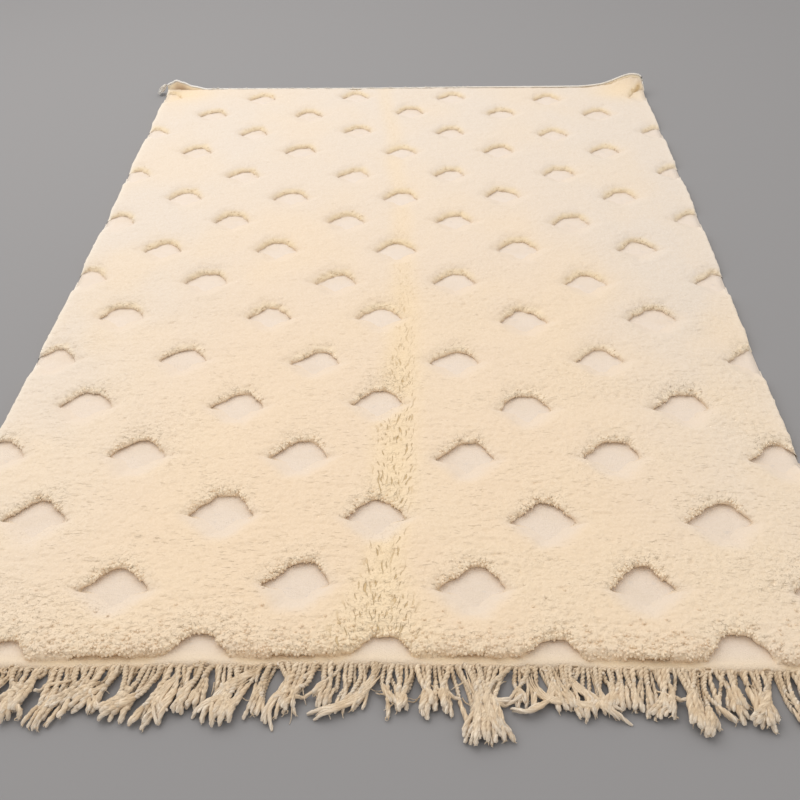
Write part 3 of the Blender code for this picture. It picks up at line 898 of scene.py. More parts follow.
@dataclass(frozen=True)
class YarnFinish(WoolFinish):
    """Undyed yarn: painted shade in the grooves between its plies, uneven along its length."""

    light: Colour = (0.90, 0.74, 0.55)
    worn: Colour = (0.76, 0.585, 0.395)
    tip: Colour = (0.92, 0.83, 0.71)
    groove_shade: Colour = (0.40, 0.27, 0.15)
    line_length: float = 16 * MM
    mottle_size: Size = (26 * MM, 40 * MM, 26 * MM)
    line_share: float = 0.3

    def look(self, maker: Maker, place: Field, tone: Field, fibres: Field) -> tuple[Field, Field]:
        """The yarn's colour and height."""
        along = maker.joined(0.0, 0.0, maker.attribute("run") / self.line_length)
        around = maker.scaled(maker.attribute("around", "FLOAT_VECTOR"), 2.4)
        lines = maker.ramp(maker.noise(maker.vector("ADD", around, along), (1.0, 1.0, 1.0), 3.0), 0.4, 0.62)
        mottle = maker.ramp(maker.noise(place, self.mottle_size, 3.0), 0.35, 0.7)
        colour = maker.blend(mottle, self.light, self.worn)
        colour = maker.blend(maker.attribute("tip") * 0.85, colour, self.tip)
        colour = self.grained(maker, colour, tone, self.groove_shade)
        # painted shade in the lines between the fibres and in the grooves between the plies
        colour = maker.blend(lines.times_plus(-self.line_share, self.line_share), colour, self.groove_shade)
        colour = maker.blend(maker.attribute("groove_shade") * 0.45, colour, self.groove_shade)
        return colour, fibres.times_plus(0.3, lines)


# ---- the pile ----


@dataclass(frozen=True)
class WallPoint:
    """A point of a steep wall's section.

    `plan` is where the floor plan has it and `stands` where it stands, from the recess into the pile. `near`
    and `far` are its shares of the pile's height at the rug's two ends.
    """

    plan: float
    stands: float
    near: float
    far: float


@dataclass(frozen=True)
class PileField:
    """The pile: a clumped surface that falls steeply at the walls that face the near end."""

    plan: RugPlan
    pattern: RecessPattern
    finish: PileFinish
    columns: int = 500
    rows: int = 640
    bands: tuple[float, ...] = (0.0, 0.225, 0.48, 0.74, 1.0)
    near_step_share: float = 0.68
    foot_depth: float = 1.2 * MM
    foot_gap: float = 0.2 * MM
    margin: float = 11 * MM
    notch_from: float = 4 * MM
    brim: Span = (-2 * MM, 5 * MM)
    rim_brim: Span = (0.0, 9 * MM)
    lean: float = 0.7
    clump: float = 6.0 * MM
    clump_sway: float = 9 * MM
    sway_size: Size = (14 * MM, 14 * MM, 1.0)
    coarse_size: Size = (12.5 * MM, 9.5 * MM, 1.0)
    fine_size: Size = (7.4 * MM, 6.0 * MM, 1.0)
    lump_size: Size = (120 * MM, 120 * MM, 1.0)
    lump_height: float = 4.0 * MM
    swell_size: Size = (42 * MM, 30 * MM, 1.0)
    swell_height: float = 3.4 * MM
    roll_size: Size = (75 * MM, 13 * MM, 1.0)
    roll_patches: Size = (0.28, 0.17, 1.0)
    roll_height: float = 5.0 * MM
    streak_size: Size = (26 * MM, 4.6 * MM, 1.0)
    streak_depth: float = 1.2 * MM
    parting_depth: float = 1.8 * MM
    fold_depth: float = 2.6 * MM
    crumb: float = 5.0 * MM
    yarn_end_gap: float = 5.0 * MM
    yarn_end_density: float = 36000.0
    yarn_end: float = 6.2 * MM
    wall: tuple[WallPoint, ...] = tuple(
        WallPoint(*in_mm(plan, stands), near, far)
        for plan, stands, near, far in (
            (-9.0, 6.4, 0.0, 0.0),
            (-6.5, 5.8, 0.05, 0.02),
            (-4.0, 4.8, 0.17, 0.07),
            (-1.5, 4.0, 0.33, 0.14),
            (1.0, 4.3, 0.48, 0.22),
            (4.0, 6.2, 0.66, 0.38),
            (8.0, 9.4, 0.79, 0.55),
            (14.0, 14.4, 0.885, 0.73),
            (24.0, 24.0, 0.955, 0.89),
            (36.0, 36.0, 1.0, 1.0),
        )
    )
    wall_softness: float = 5 * MM
    wanders: tuple[Span, ...] = ((3.4 * MM, 26 * MM), (2.2 * MM, 10 * MM))
    far_gap: float = 5 * MM
    lip_reach: Span = (-34 * MM, 26 * MM)
    fold_half_widths: tuple[float, ...] = in_mm(165, 62, 76, 74, 66, 60, 54, 50, 50, 50, 50)
    fold_strengths: tuple[float, ...] = (1.0, 0.9, 0.9, 0.8, 0.45, 0.34, 0.2, 0.1, 0.12, 0.14, 0.06)
    farther: Span = (-1.2, 0.3)
    hard_span: Span = (0.55, 1.0)
    steep_span: Span = (-0.6, 0.15)
    facing_span: Span = (-0.05, 0.5)
    near_wall: Span = (4 * MM, 16 * MM)
    under_size: float = 45 * MM
    under_reach: Span = (-5.5 * MM, -0.8 * MM)
    under_border: Span = (3 * MM, 34 * MM)
    level_reach: Span = (-14 * MM, 26 * MM)
    tight_span: Span = (-0.7, -0.2)
    side_foot: Span = (-2 * MM, 10 * MM)
    rim_middle: float = 4 * MM
    rim_width: float = 8 * MM
    edge_reach: float = 8 * MM
    crumbly_start: float = 3 * MM
    crumbly_reach: float = 22 * MM
    fluff_span: Span = (-0.9, 0.9)
    crumbly_span: Span = (-1.25, 0.1)
    climb_span: Span = (0.5, 0.72)
    climb_reach: float = 17 * MM
    wall_fluff: float = 26 * MM
    end_fluff: float = 120 * MM
    crease: tuple[float, float] = (818 * MM, 42 * MM)
    crease_size: Span = (9 * MM, 24 * MM)
    spot: tuple[float, float] = (785 * MM, 104 * MM)
    spot_size: Span = (7 * MM, 12 * MM)

    def plan_grid(self) -> tuple[Array, Array, Array]:
        """The pile's floor plan.

        Returns:
            Places across and along the rug, before the pile leans, and the same places along the rug without
            the stray of its near end. One row for each row of knots.
        """
        share = np.linspace(0.0, 1.0, self.rows + 1)
        share = share * (self.near_step_share + (1 - self.near_step_share) * share)
        first = self.plan.near + self.plan.near_bare - self.margin
        last = self.plan.far - self.far_gap + 0.2 * self.margin
        even = np.repeat((first + (last - first) * share)[:, None], self.columns + 1, axis=1)
        width = self.plan.side(1, even) - self.plan.side(-1, even)
        overrun = self.margin / width
        across = np.linspace(0.0, 1.0, self.columns + 1)[None, :]
        x = self.plan.across(across * (1 + 2 * overrun) - overrun, even)
        still = 1 - (even - self.plan.near) / self.plan.length
        return x, even + self.plan.stray(x) * still, even

    def edges(self, x: Array, y: Array, even: Array) -> tuple[Array, Array, Array, Array]:
        """How far places lie inside the pile's edges and outside its recesses.

        Args:
            x: Places across the rug.
            y: Places along the rug.
            even: The places along the rug without the near end's stray.

        Returns:
            The distances from the nearest recess or the near end, the unit directions away from it, into the
            pile, the distances from the other edges, and the places' shares of the nearest recess's width.
        """
        wanders = enumerate(self.wanders, 1)
        wander = sum(height * patches(x, y, size, seed) for seed, (height, size) in wanders)
        start = even - self.plan.near - self.plan.near_bare
        outside, away, sideways = self.pattern.distance(x, y + np.maximum(self.notch_from - start, 0.0))
        lowest = np.minimum(outside, start)
        weights = [np.exp((lowest - distance) / self.wall_softness) for distance in (outside, start)]
        direction = weights[0][..., None] * away + weights[1][..., None] * np.array((0.0, 1.0))
        direction /= np.maximum(np.linalg.norm(direction, axis=-1), 1e-9)[..., None]
        border = np.minimum(self.plan.inside(x, even), self.plan.far - self.far_gap - even) + 0.35 * wander
        distance = lowest - self.wall_softness * np.log(weights[0] + weights[1]) + wander
        return distance, direction, border, sideways

    def fluff(self, x: Array, y: Array, distance: Array, facing: Array) -> Array:
        """How much the clumps stand out: most behind steep walls and in patches of the nearer half."""
        nearness = 1 - smooth_step(y, *self.fluff_span)
        open_patch = smooth_step(patches(x, y, 150 * MM, 5) + 0.5 * patches(x, y, 60 * MM, 6), -0.25, 0.9)
        at_wall = fading(distance, self.wall_fluff) * facing
        at_end = np.exp(-(y - self.plan.near) / self.end_fluff)
        share = 0.12 + (0.12 + 0.24 * open_patch) * (0.2 + 0.8 * nearness) + (0.15 + 0.6 * nearness) * at_wall
        return np.clip(share + 0.35 * at_end, 0.0, 1.0)

    def crease_shade(self, x: Array, y: Array) -> Array:
        """The painted shade in the crease where the curled right corner bends and in the spot beside it."""
        across, along = x - self.crease[0], y - (self.plan.far - self.crease[1])
        crease = bell((across - 0.6 * along, self.crease_size[0]), (along, self.crease_size[1]))
        across, along = x - self.spot[0], y - self.plan.far + self.spot[1]
        spot = bell((across, self.spot_size[0]), (along, self.spot_size[1]))
        return 0.85 * crease + 0.55 * spot

    def climb(self, x: Array, y: Array) -> Array:
        """How far the pile rises to meet the lip where the right corner curls."""
        middle = np.full(x.shape, self.plan.lip_middle)
        over = self.plan.lip_top(x) - self.plan.lift(x, middle) - self.plan.pile_top + 1 * MM
        reach = fading(self.plan.far - self.far_gap - y, self.climb_reach)
        return np.maximum(over, 0.0) * smooth_step(x, *self.climb_span) * reach

    def base(self) -> tuple[Array, Array, dict[str, Array]]:
        """The pile's floor plan with what the surface tree needs.

        Returns:
            The vertices as a grid, the distances from the walls, and the attributes.
        """
        x, y, even = self.plan_grid()
        distance, inward, border, sideways = self.edges(x, y, even)
        farther = smooth_step(y, *self.farther)
        faint = 0.45 + 0.3 * smooth_step(sideways, -0.1, 0.5)
        faint = faint + (1 - faint) * farther
        hard = 1 - 0.9 * smooth_step(np.abs(sideways + 0.12 - 0.08 * farther), *self.hard_span) * faint
        steep = smooth_step(inward[..., 1], *self.steep_span) * hard
        facing = smooth_step(inward[..., 1], *self.facing_span) * hard
        start = even - self.plan.near - self.plan.near_bare
        steep = np.maximum(steep, 1 - smooth_step(start, *self.near_wall))
        # painted shadow: `under` is the dark line at the foot of each wall that faces the near end, darker on
        # walls facing
        wander = smooth_step(patches(x, y, self.under_size, 11) - 0.9 * inward[..., 0], -1.1, 0.5)
        # away from the light on the left, uneven along its length and fainter towards the far end
        under = (0.40 - 0.32 * farther) * (0.1 + 0.9 * wander)
        under = under * np.where(x < 0, smooth_step(border, *self.under_border), 1.0)
        plan, stands, near, far = np.array([(p.plan, p.stands, p.near, p.far) for p in self.wall]).T
        crisp = np.interp(distance, plan, near) * (1 - farther) + np.interp(distance, plan, far) * farther
        gentle = smooth_step(distance, *self.lip_reach)
        moved = np.where(distance < plan[-1], np.interp(distance, plan, stands) - distance, 0.0) * facing
        moved = moved * (1 - 0.35 * farther)
        strength = self.plan.along(self.fold_strengths, y)
        aside = (x - self.plan.along(self.plan.fold_stray, y)) / self.plan.along(self.fold_half_widths, y)
        fold = 1 - smooth_step(np.abs(aside))
        tight = 0.35 * smooth_step(y, *self.tight_span)
        sides = self.plan.inside(x, even)
        foot = (self.plan.ground - self.foot_depth) * smooth_step(sides, *self.side_foot) + self.foot_gap
        low = self.brim[0]
        rise = (gentle + (crisp - gentle) * steep) * smooth_step(border, *self.brim)
        left, right = self.plan.side(-1, even) + low, self.plan.side(1, even) - low
        x, y = np.clip(x + moved * inward[..., 0], left, right), y + moved * inward[..., 1]
        y = np.minimum(y, self.plan.far - self.far_gap - low)
        # rim: the band along each wall top that faces the near end; it places crumbs and carries the painted
        # glow
        rim = bell((distance - self.rim_middle, self.rim_width)) * facing
        rim = rim * smooth_step(border, *self.rim_brim)
        crumbly = fading(start - self.crumbly_start, self.crumbly_reach) * smooth_step(border, *self.rim_brim)
        crumbly = np.maximum(smooth_step(rim, 0.35, 0.9), crumbly)
        crumbly = crumbly * (1 - 0.7 * smooth_step(y, *self.crumbly_span))
        under = under * (1 - smooth_step(distance, *self.under_reach)) * facing
        level = (1 - smooth_step(distance, *self.level_reach)) * (1 - steep)
        yellowed = self.plan.yellowed(x, y)
        parted = smooth_step(fold, 0.15 + tight, 0.75 + 0.5 * tight) * strength
        attributes = {
            "rise": rise,
            # painted shadow at the walls' feet, with the painted crease shade at the right corner
            "under": np.maximum(under, self.crease_shade(x, y)),
            # the painted shade's mask on the gentle lips, kept off the yellowed corners
            "lip": level * (1 - yellowed),
            "rim": rim,
            "aside": aside,
            # the painted highlight's mask along the long edges, half as strong on the right
            "edge": fading(sides, self.edge_reach) * (1.0 - 0.5 * (x > 0)),
            "crumbly": crumbly * smooth_step(rise, 0.15, 0.4),
            "fold": np.maximum(fold * (0.25 + 0.75 * strength), yellowed),
            "parted": parted * smooth_step(rise, 0.55, 0.9),
            "fluff": np.clip(self.fluff(x, y, distance, facing) + 0.3 * fold * strength, 0.0, 1.0),
            "foot": foot + self.plan.lift(x, y) + self.climb(x, y),
            "inward": np.concatenate((inward, np.zeros((*x.shape, 1))), axis=-1),
        }
        distance = np.where(start > plan[0], distance + (plan[0] - self.lip_reach[0]) * (1 - steep), distance)
        distance = np.where(border > low - 1 * MM, distance, 2 * plan[0])
        return np.stack((x, y, np.zeros(x.shape)), axis=-1), distance, attributes

    def surface_tree(self) -> bpy.types.NodeTree:
        """The Geometry Nodes tree that raises the pile and sets yarn ends along its rims."""
        sockets = {
            "Geometry": "Geometry",
            "Pile height": "Float",
            "Lean": "Float",
            "Clump": "Float",
            "Yarn end": "Float",
            "Material": "Material",
        }
        out = {"Geometry": "Geometry"}
        made, given, results = Maker.group("pile_surface", "GeometryNodeTree", sockets, out)
        mesh, height, lean, clump, yarn_end, material = given
        place = made.out("GeometryNodeInputPosition")
        rise, rim, fold, fluff, foot = (
            made.attribute(name) for name in ("rise", "rim", "fold", "fluff", "foot")
        )

        def swells(size: Size) -> Field:
            """Soft swells of that size, about 0."""
            return made.noise(place, size, 1.0) - 0.5

        bent = made.swayed(place, made.noise(place, self.sway_size, name="Color"), self.clump_sway)
        coarse = made.cells(bent, self.coarse_size, "SMOOTH_F1", Smoothness=0.25)
        fine = made.cells(bent, self.fine_size)
        domes = (0.45 - fine * fine).times_plus(0.7, 0.62 - coarse * coarse)
        relief = domes * fluff.times_plus(0.8, 0.14) * clump
        nearness = made.ramp(made.parts(place)[1], -0.9, 0.5, 1.0, 0.35)
        streak = made.ramp(made.noise(place, self.streak_size, 1.0), 0.62, 0.74)
        streak = streak * (made.ramp(rise, 0.8, 1.0) * nearness)
        roll = swells(self.roll_size) * made.ramp(made.noise(place, self.roll_patches, 1.0), 0.38, 0.62)
        roll = roll * (1.0 - fold)

        top = swells(self.lump_size).times_plus(self.lump_height, height)
        top = swells(self.swell_size).times_plus(self.swell_height, top)
        top = (roll * nearness).times_plus(self.roll_height, top) + relief
        top = streak.times_plus(-self.streak_depth, top)
        top = partings(made, place).times_plus(-self.parting_depth, top)
        top = fold.times_plus(-self.fold_depth, top)
        back = (top - height) * (rise * lean) * -1.0
        crumbs = made.scaled(made.attribute("inward", "FLOAT_VECTOR"), domes * rim * -self.crumb)
        offset = made.vector("ADD", crumbs, made.joined(0.0, back, top * rise + foot))
        # painted shade in the hollows between the domes, kept with the painted shadow at the walls' feet
        dome_gap_shade = (0.75 - domes) * fluff.times_plus(0.8, 0.1)
        cavity_shade = made.math("MAXIMUM", dome_gap_shade * 0.12, made.attribute("under"))
        mesh = made.kept(made.kept(mesh, "cavity_shade", cavity_shade), "knot", place, "FLOAT_VECTOR")
        surface = made.out("GeometryNodeSetPosition", {"Geometry": mesh, "Offset": offset})

        both = made.node("GeometryNodeJoinGeometry")
        for part in (self.yarn_ends(made, surface, yarn_end), surface):
            made.feed(both.inputs[0], part)
        real = made.out("GeometryNodeRealizeInstances", (Field(made, both.outputs[0]),))
        dressed = made.out("GeometryNodeSetMaterial", {"Geometry": real, "Material": material})
        made.feed(results["Geometry"], dressed)
        return made.tree

    def yarn_ends(self, made: Maker, surface: Field, size: Field) -> Field:
        """Small loose yarn ends along the steep rims.

        Args:
            made: The tree's maker.
            surface: The raised pile.
            size: The thickness of a yarn end.

        Returns:
            The yarn ends, as instances.
        """
        spread = {
            "Mesh": surface,
            "Distance Min": self.yarn_end_gap,
            "Density Max": self.yarn_end_density,
            "Density Factor": made.attribute("crumbly"),
            "Seed": 3,
        }
        points = made.node("GeometryNodeDistributePointsOnFaces", spread, distribute_method="POISSON").outputs

        def shuffled(low: Sequence[float], high: Sequence[float], seed: int) -> Field:
            """A vector drawn anew for each point."""
            limits = {"Min": low, "Max": high, "Seed": seed}
            return made.out("FunctionNodeRandomValue", limits, "Value", data_type="FLOAT_VECTOR")

        aside = shuffled((-0.6, -0.9, -0.3), (0.6, 0.1, 0.4), 5)
        aim = made.vector("ADD", Field(made, points["Normal"]), aside)
        along = made.parts(made.attribute("knot", "FLOAT_VECTOR"))[1]
        size = size * made.ramp(along, -1.2, 0.2, 1.0, 0.65)
        size = size * made.ramp(along, -1.37, -1.28, 1.35, 1.0)
        placed = {
            "Points": Field(made, points["Points"]),
            "Instance": made.out("GeometryNodeMeshIcoSphere", {"Radius": 0.5, "Subdivisions": 1}, "Mesh"),
            "Rotation": made.out("FunctionNodeAlignRotationToVector", {"Vector": aim}, axis="Z"),
            "Scale": made.scaled(shuffled((0.8, 0.8, 0.9), (1.2, 1.2, 1.6), 8), size),
        }
        return made.out("GeometryNodeSetShadeSmooth", (made.out("GeometryNodeInstanceOnPoints", placed),))

    def build(self, wool: bpy.types.NodeTree) -> list[bpy.types.Object]:
        """The pile as bands across the rug, each under the limit on triangles."""
        points, distance, attributes = self.base()
        tree = self.surface_tree()
        values = {
            "Pile height": self.plan.pile_top - self.plan.ground + self.foot_depth,
            "Lean": self.lean,
            "Clump": self.clump,
            "Yarn end": self.yarn_end,
            "Material": self.finish.material(wool),
        }
        made = []
        cuts = (np.array(self.bands) * self.rows).astype(int)
        for band, (first, last) in enumerate(zip(cuts, cuts[1:]), 1):
            rows = slice(first, last + 1)
            quads = grid_faces(last - first + 1, self.columns + 1)
            quads = quads[(distance[rows].ravel()[quads] > self.wall[0].plan).any(axis=1)]
            used, quads = np.unique(quads, return_inverse=True)
            kept = {
                name: value[rows].reshape(-1, *value.shape[2:])[used] for name, value in attributes.items()
            }
            own = points[rows].reshape(-1, 3)[used]
            flat = mesh_object(f"pile_{band}", own, quads.reshape(-1, 4), kept)
            made.append(finished(grown(flat, tree, values), Slot.PILE))
        return made


# ---- ground weave ----


@dataclass(frozen=True)
class GroundWeave:
    """The thin cloth under the pile, bare in the recesses and at both ends, with its far end turned up."""

    plan: RugPlan
    pattern: RecessPattern
    finish: GroundFinish
    flat: tuple[float, float] = (1.72, 2.70)
    columns: int = 96
    rows: int = 150
    lip_rows: int = 5
    inset: float = 0.0012
    thickness: float = 3.6 * MM
    unevenness: float = 0.25 * MM
    end_span: Span = (22 * MM, 45 * MM)

    def build(self, wool: bpy.types.NodeTree) -> bpy.types.Object:
        """The ground weave's object."""
        along = np.concatenate((np.linspace(0.0, 1.0, self.rows + 1), np.full(self.lip_rows, 1.0)))[:, None]
        up = np.concatenate((np.zeros(self.rows + 1), np.linspace(0.0, 1.0, self.lip_rows + 1)[1:]))[:, None]
        even = self.plan.near + (self.plan.lip_middle - self.plan.near) * along
        x = self.plan.across(np.linspace(self.inset, 1 - self.inset, self.columns + 1)[None, :], even)
        y = even + self.plan.stray(x) * (1 - along)
        uneven = self.unevenness * patches(x, y, 35 * MM, 21) * (up == 0)
        flat_z = self.plan.ground / 2 + self.plan.lift(x, y) + uneven
        z = flat_z + (self.plan.lip_top(x) - flat_z) * up
        first, last = self.end_span
        shaded = bell((x + 832 * MM, 30 * MM)) + 0.6 * bell((x - 660 * MM, 100 * MM))
        attributes = {
            "end": 1 - smooth_step(even, self.plan.near + first, self.plan.near + last),
            "aged": self.plan.yellowed(x, y),
            "turned": 1.0 * (up > 0),
            "shaded": shaded * (up > 0) * (1 - 0.6 * up),
            "start": even - self.plan.near - self.plan.near_bare,
            "covered": smooth_step(self.pattern.distance(x, y)[0], 0.0, 16 * MM),
        }
        attributes = {name: (value + 0 * x).ravel() for name, value in attributes.items()}
        points = np.stack((x, y, z), axis=-1).reshape(-1, 3)
        made = mesh_object("ground_weave", points, grid_faces(*x.shape), attributes)
        shell = made.modifiers.new("thickness", "SOLIDIFY")
        shell.thickness = self.thickness
        shell.offset = 0.0
        shell.use_even_offset = True
        made.data.materials.append(self.finish.material(wool))
        return finished(made, Slot.PILE, "woven_field")


# ---- yarns ----


@dataclass(frozen=True)
class Spinner:
    """Sweeps twisted yarn along routes with a Geometry Nodes tree."""

    tree: bpy.types.NodeTree

    @classmethod
    def ready(cls) -> "Spinner":
        """A spinner with its tree built."""
        sockets = {
            "Geometry": "Geometry",
            "Radius": "Float",
            "Turn length": "Float",
            "Plies": "Int",
            "Ply depth": "Float",
            "Sides": "Int",
            "Material": "Material",
        }
        out = {"Geometry": "Geometry"}
        made, given, results = Maker.group("twisted_yarn", "GeometryNodeTree", sockets, out)
        routes, radius, turn, plies, depth, sides, material = given
        factor, run = (
            Field(made, socket) for socket in made.node("GeometryNodeSplineParameter").outputs[:2]
        )
        which = made.out("GeometryNodeCurveOfPoint", (), "Curve Index")
        routes = made.kept(routes, "run", which.times_plus(0.73, run))
        routes = made.kept(routes, "tip", made.ramp(factor, 0.62, 1.0))
        twisted = made.out("GeometryNodeSetCurveTilt", {"Curve": routes, "Tilt": run / turn * FULL_TURN})
        circle = made.out("GeometryNodeCurvePrimitiveCircle", {"Resolution": sides, "Radius": 1.0})
        place = made.out("GeometryNodeInputPosition")
        x, y, _ = made.parts(place)
        wave = made.math("COSINE", made.math("ARCTAN2", y, x) * plies)
        # the painted shade's mask in the grooves between the plies
        section = made.kept(circle, "groove_shade", made.ramp(wave, -1.0, 0.1, 1.0, 0.0))
        section = made.kept(section, "around", place, "FLOAT_VECTOR")
        position = made.scaled(place, wave.times_plus(depth, 1.0) * radius)
        sweep = {
            "Curve": twisted,
            "Profile Curve": made.out("GeometryNodeSetPosition", {"Geometry": section, "Position": position}),
            "Fill Caps": True,
            "Scale": made.out("GeometryNodeInputRadius"),
        }
        real = made.out("GeometryNodeRealizeInstances", (made.out("GeometryNodeCurveToMesh", sweep),))
        smooth = made.out("GeometryNodeSetShadeSmooth", {"Geometry": real})
        dressed = made.out("GeometryNodeSetMaterial", {"Geometry": smooth, "Material": material})
        made.feed(results["Geometry"], dressed)
        return cls(made.tree)

    def spun(self, name: str, routes: Sequence[Route], material: bpy.types.Material, radius: float,
             turn: float, plies: int, depth: float, sides: int = 8) -> bpy.types.Object:
        """A mesh object of yarn.

        Args:
            name: The object's name.
            routes: The yarn's routes.
            material: Its material.
            radius: Its full radius.
            turn: The length of one turn of its twist.
            plies: How many plies are twisted together.
            depth: How deep the grooves between the plies are, as a share of the radius.
            sides: How many points its section has.

        Returns:
            The object.
        """
        values = {
            "Radius": radius,
            "Turn length": turn,
            "Plies": plies,
            "Ply depth": depth,
            "Sides": sides,
            "Material": material,
        }
        return grown(yarn_object(name, routes), self.tree, values)


def midway(line: Sequence[Vector], share: float) -> Vector:
    """The point at a share of a line's count of steps."""
    place = share * (len(line) - 1)
    index = min(int(place), len(line) - 2)
    return line[index].lerp(line[index + 1], place - index)


class HeightMap:
    """The tops of the yarns laid so far, on a fine grid over the fringe's floor."""

    step = 1.5 * MM
    sag = 16 * MM
    thinnest = 0.4 * MM
    easing = (0.1, 0.2, 0.4, 0.2, 0.1)

    def __init__(self, low: tuple[float, float], high: tuple[float, float]) -> None:
        """Starts with an empty floor between two corners."""
        self.low = np.array(low)
        size = np.ceil((np.array(high) - self.low) / self.step).astype(int) + 1
        self.tops = np.zeros(size)

    def window(self, place: Vector, radius: float) -> tuple[slice, slice]:
        """The cells under a yarn at a place."""
        reach = int(math.ceil(radius / self.step))
        middle = ((np.array(place[:2]) - self.low) / self.step).astype(int)
        middle = np.clip(middle, reach, np.array(self.tops.shape) - reach - 1)
        return tuple(slice(index - reach, index + reach + 1) for index in middle)

    def lay(self, route: Route, radius: float) -> Route:
        """Lays a yarn on what lies there already.

        Args:
            route: The yarn's route in the floor plan.
            radius: Its full radius.

        Returns:
            The route with its heights.
        """
        sizes = [max(radius * thickness, self.thinnest) for _, thickness in route]
        windows = [self.window(place, size * 0.7) for (place, _), size in zip(route, sizes)]
        under = np.array([self.tops[window].max() for window in windows])
        eased = np.convolve(np.pad(under, len(self.easing) // 2, mode="edge"), self.easing, mode="valid")
        heights = self.sag * (1 - np.exp(-np.maximum(under * 0.72, eased) / self.sag))
        laid = []
        for (place, thickness), size, height in zip(route, sizes, heights):
            laid.append((Vector((place.x, place.y, max(height, place.z) + size * 0.92)), thickness))
            cells = self.window(place, size * 0.8)
            self.tops[cells] = np.maximum(self.tops[cells], height + size * 1.5)
        return laid


@dataclass(frozen=True)
class Bunch:
    """Neighbouring cords that gather around a middle and lean the same way."""

    roots: list[float]
    middle: float
    lean: float
    length: float
    layer: float
    matted: float
    tight: bool


@dataclass(frozen=True)
class BrushPoint:
    """A point of a brush of loose strands: its share of the brush's length, and its thickness there."""

    share: float
    thickness: float


@dataclass(frozen=True)
class Walk:
    """How a loose yarn wanders.

    `steps` is its least and greatest count of steps, `hold` the share of its bend that each step keeps,
    `stray` how far the bend changes at each and `over` how far past the cords' roots it may run.
    """

    steps: tuple[int, int]
    hold: float
    stray: float
    over: float = 0.0


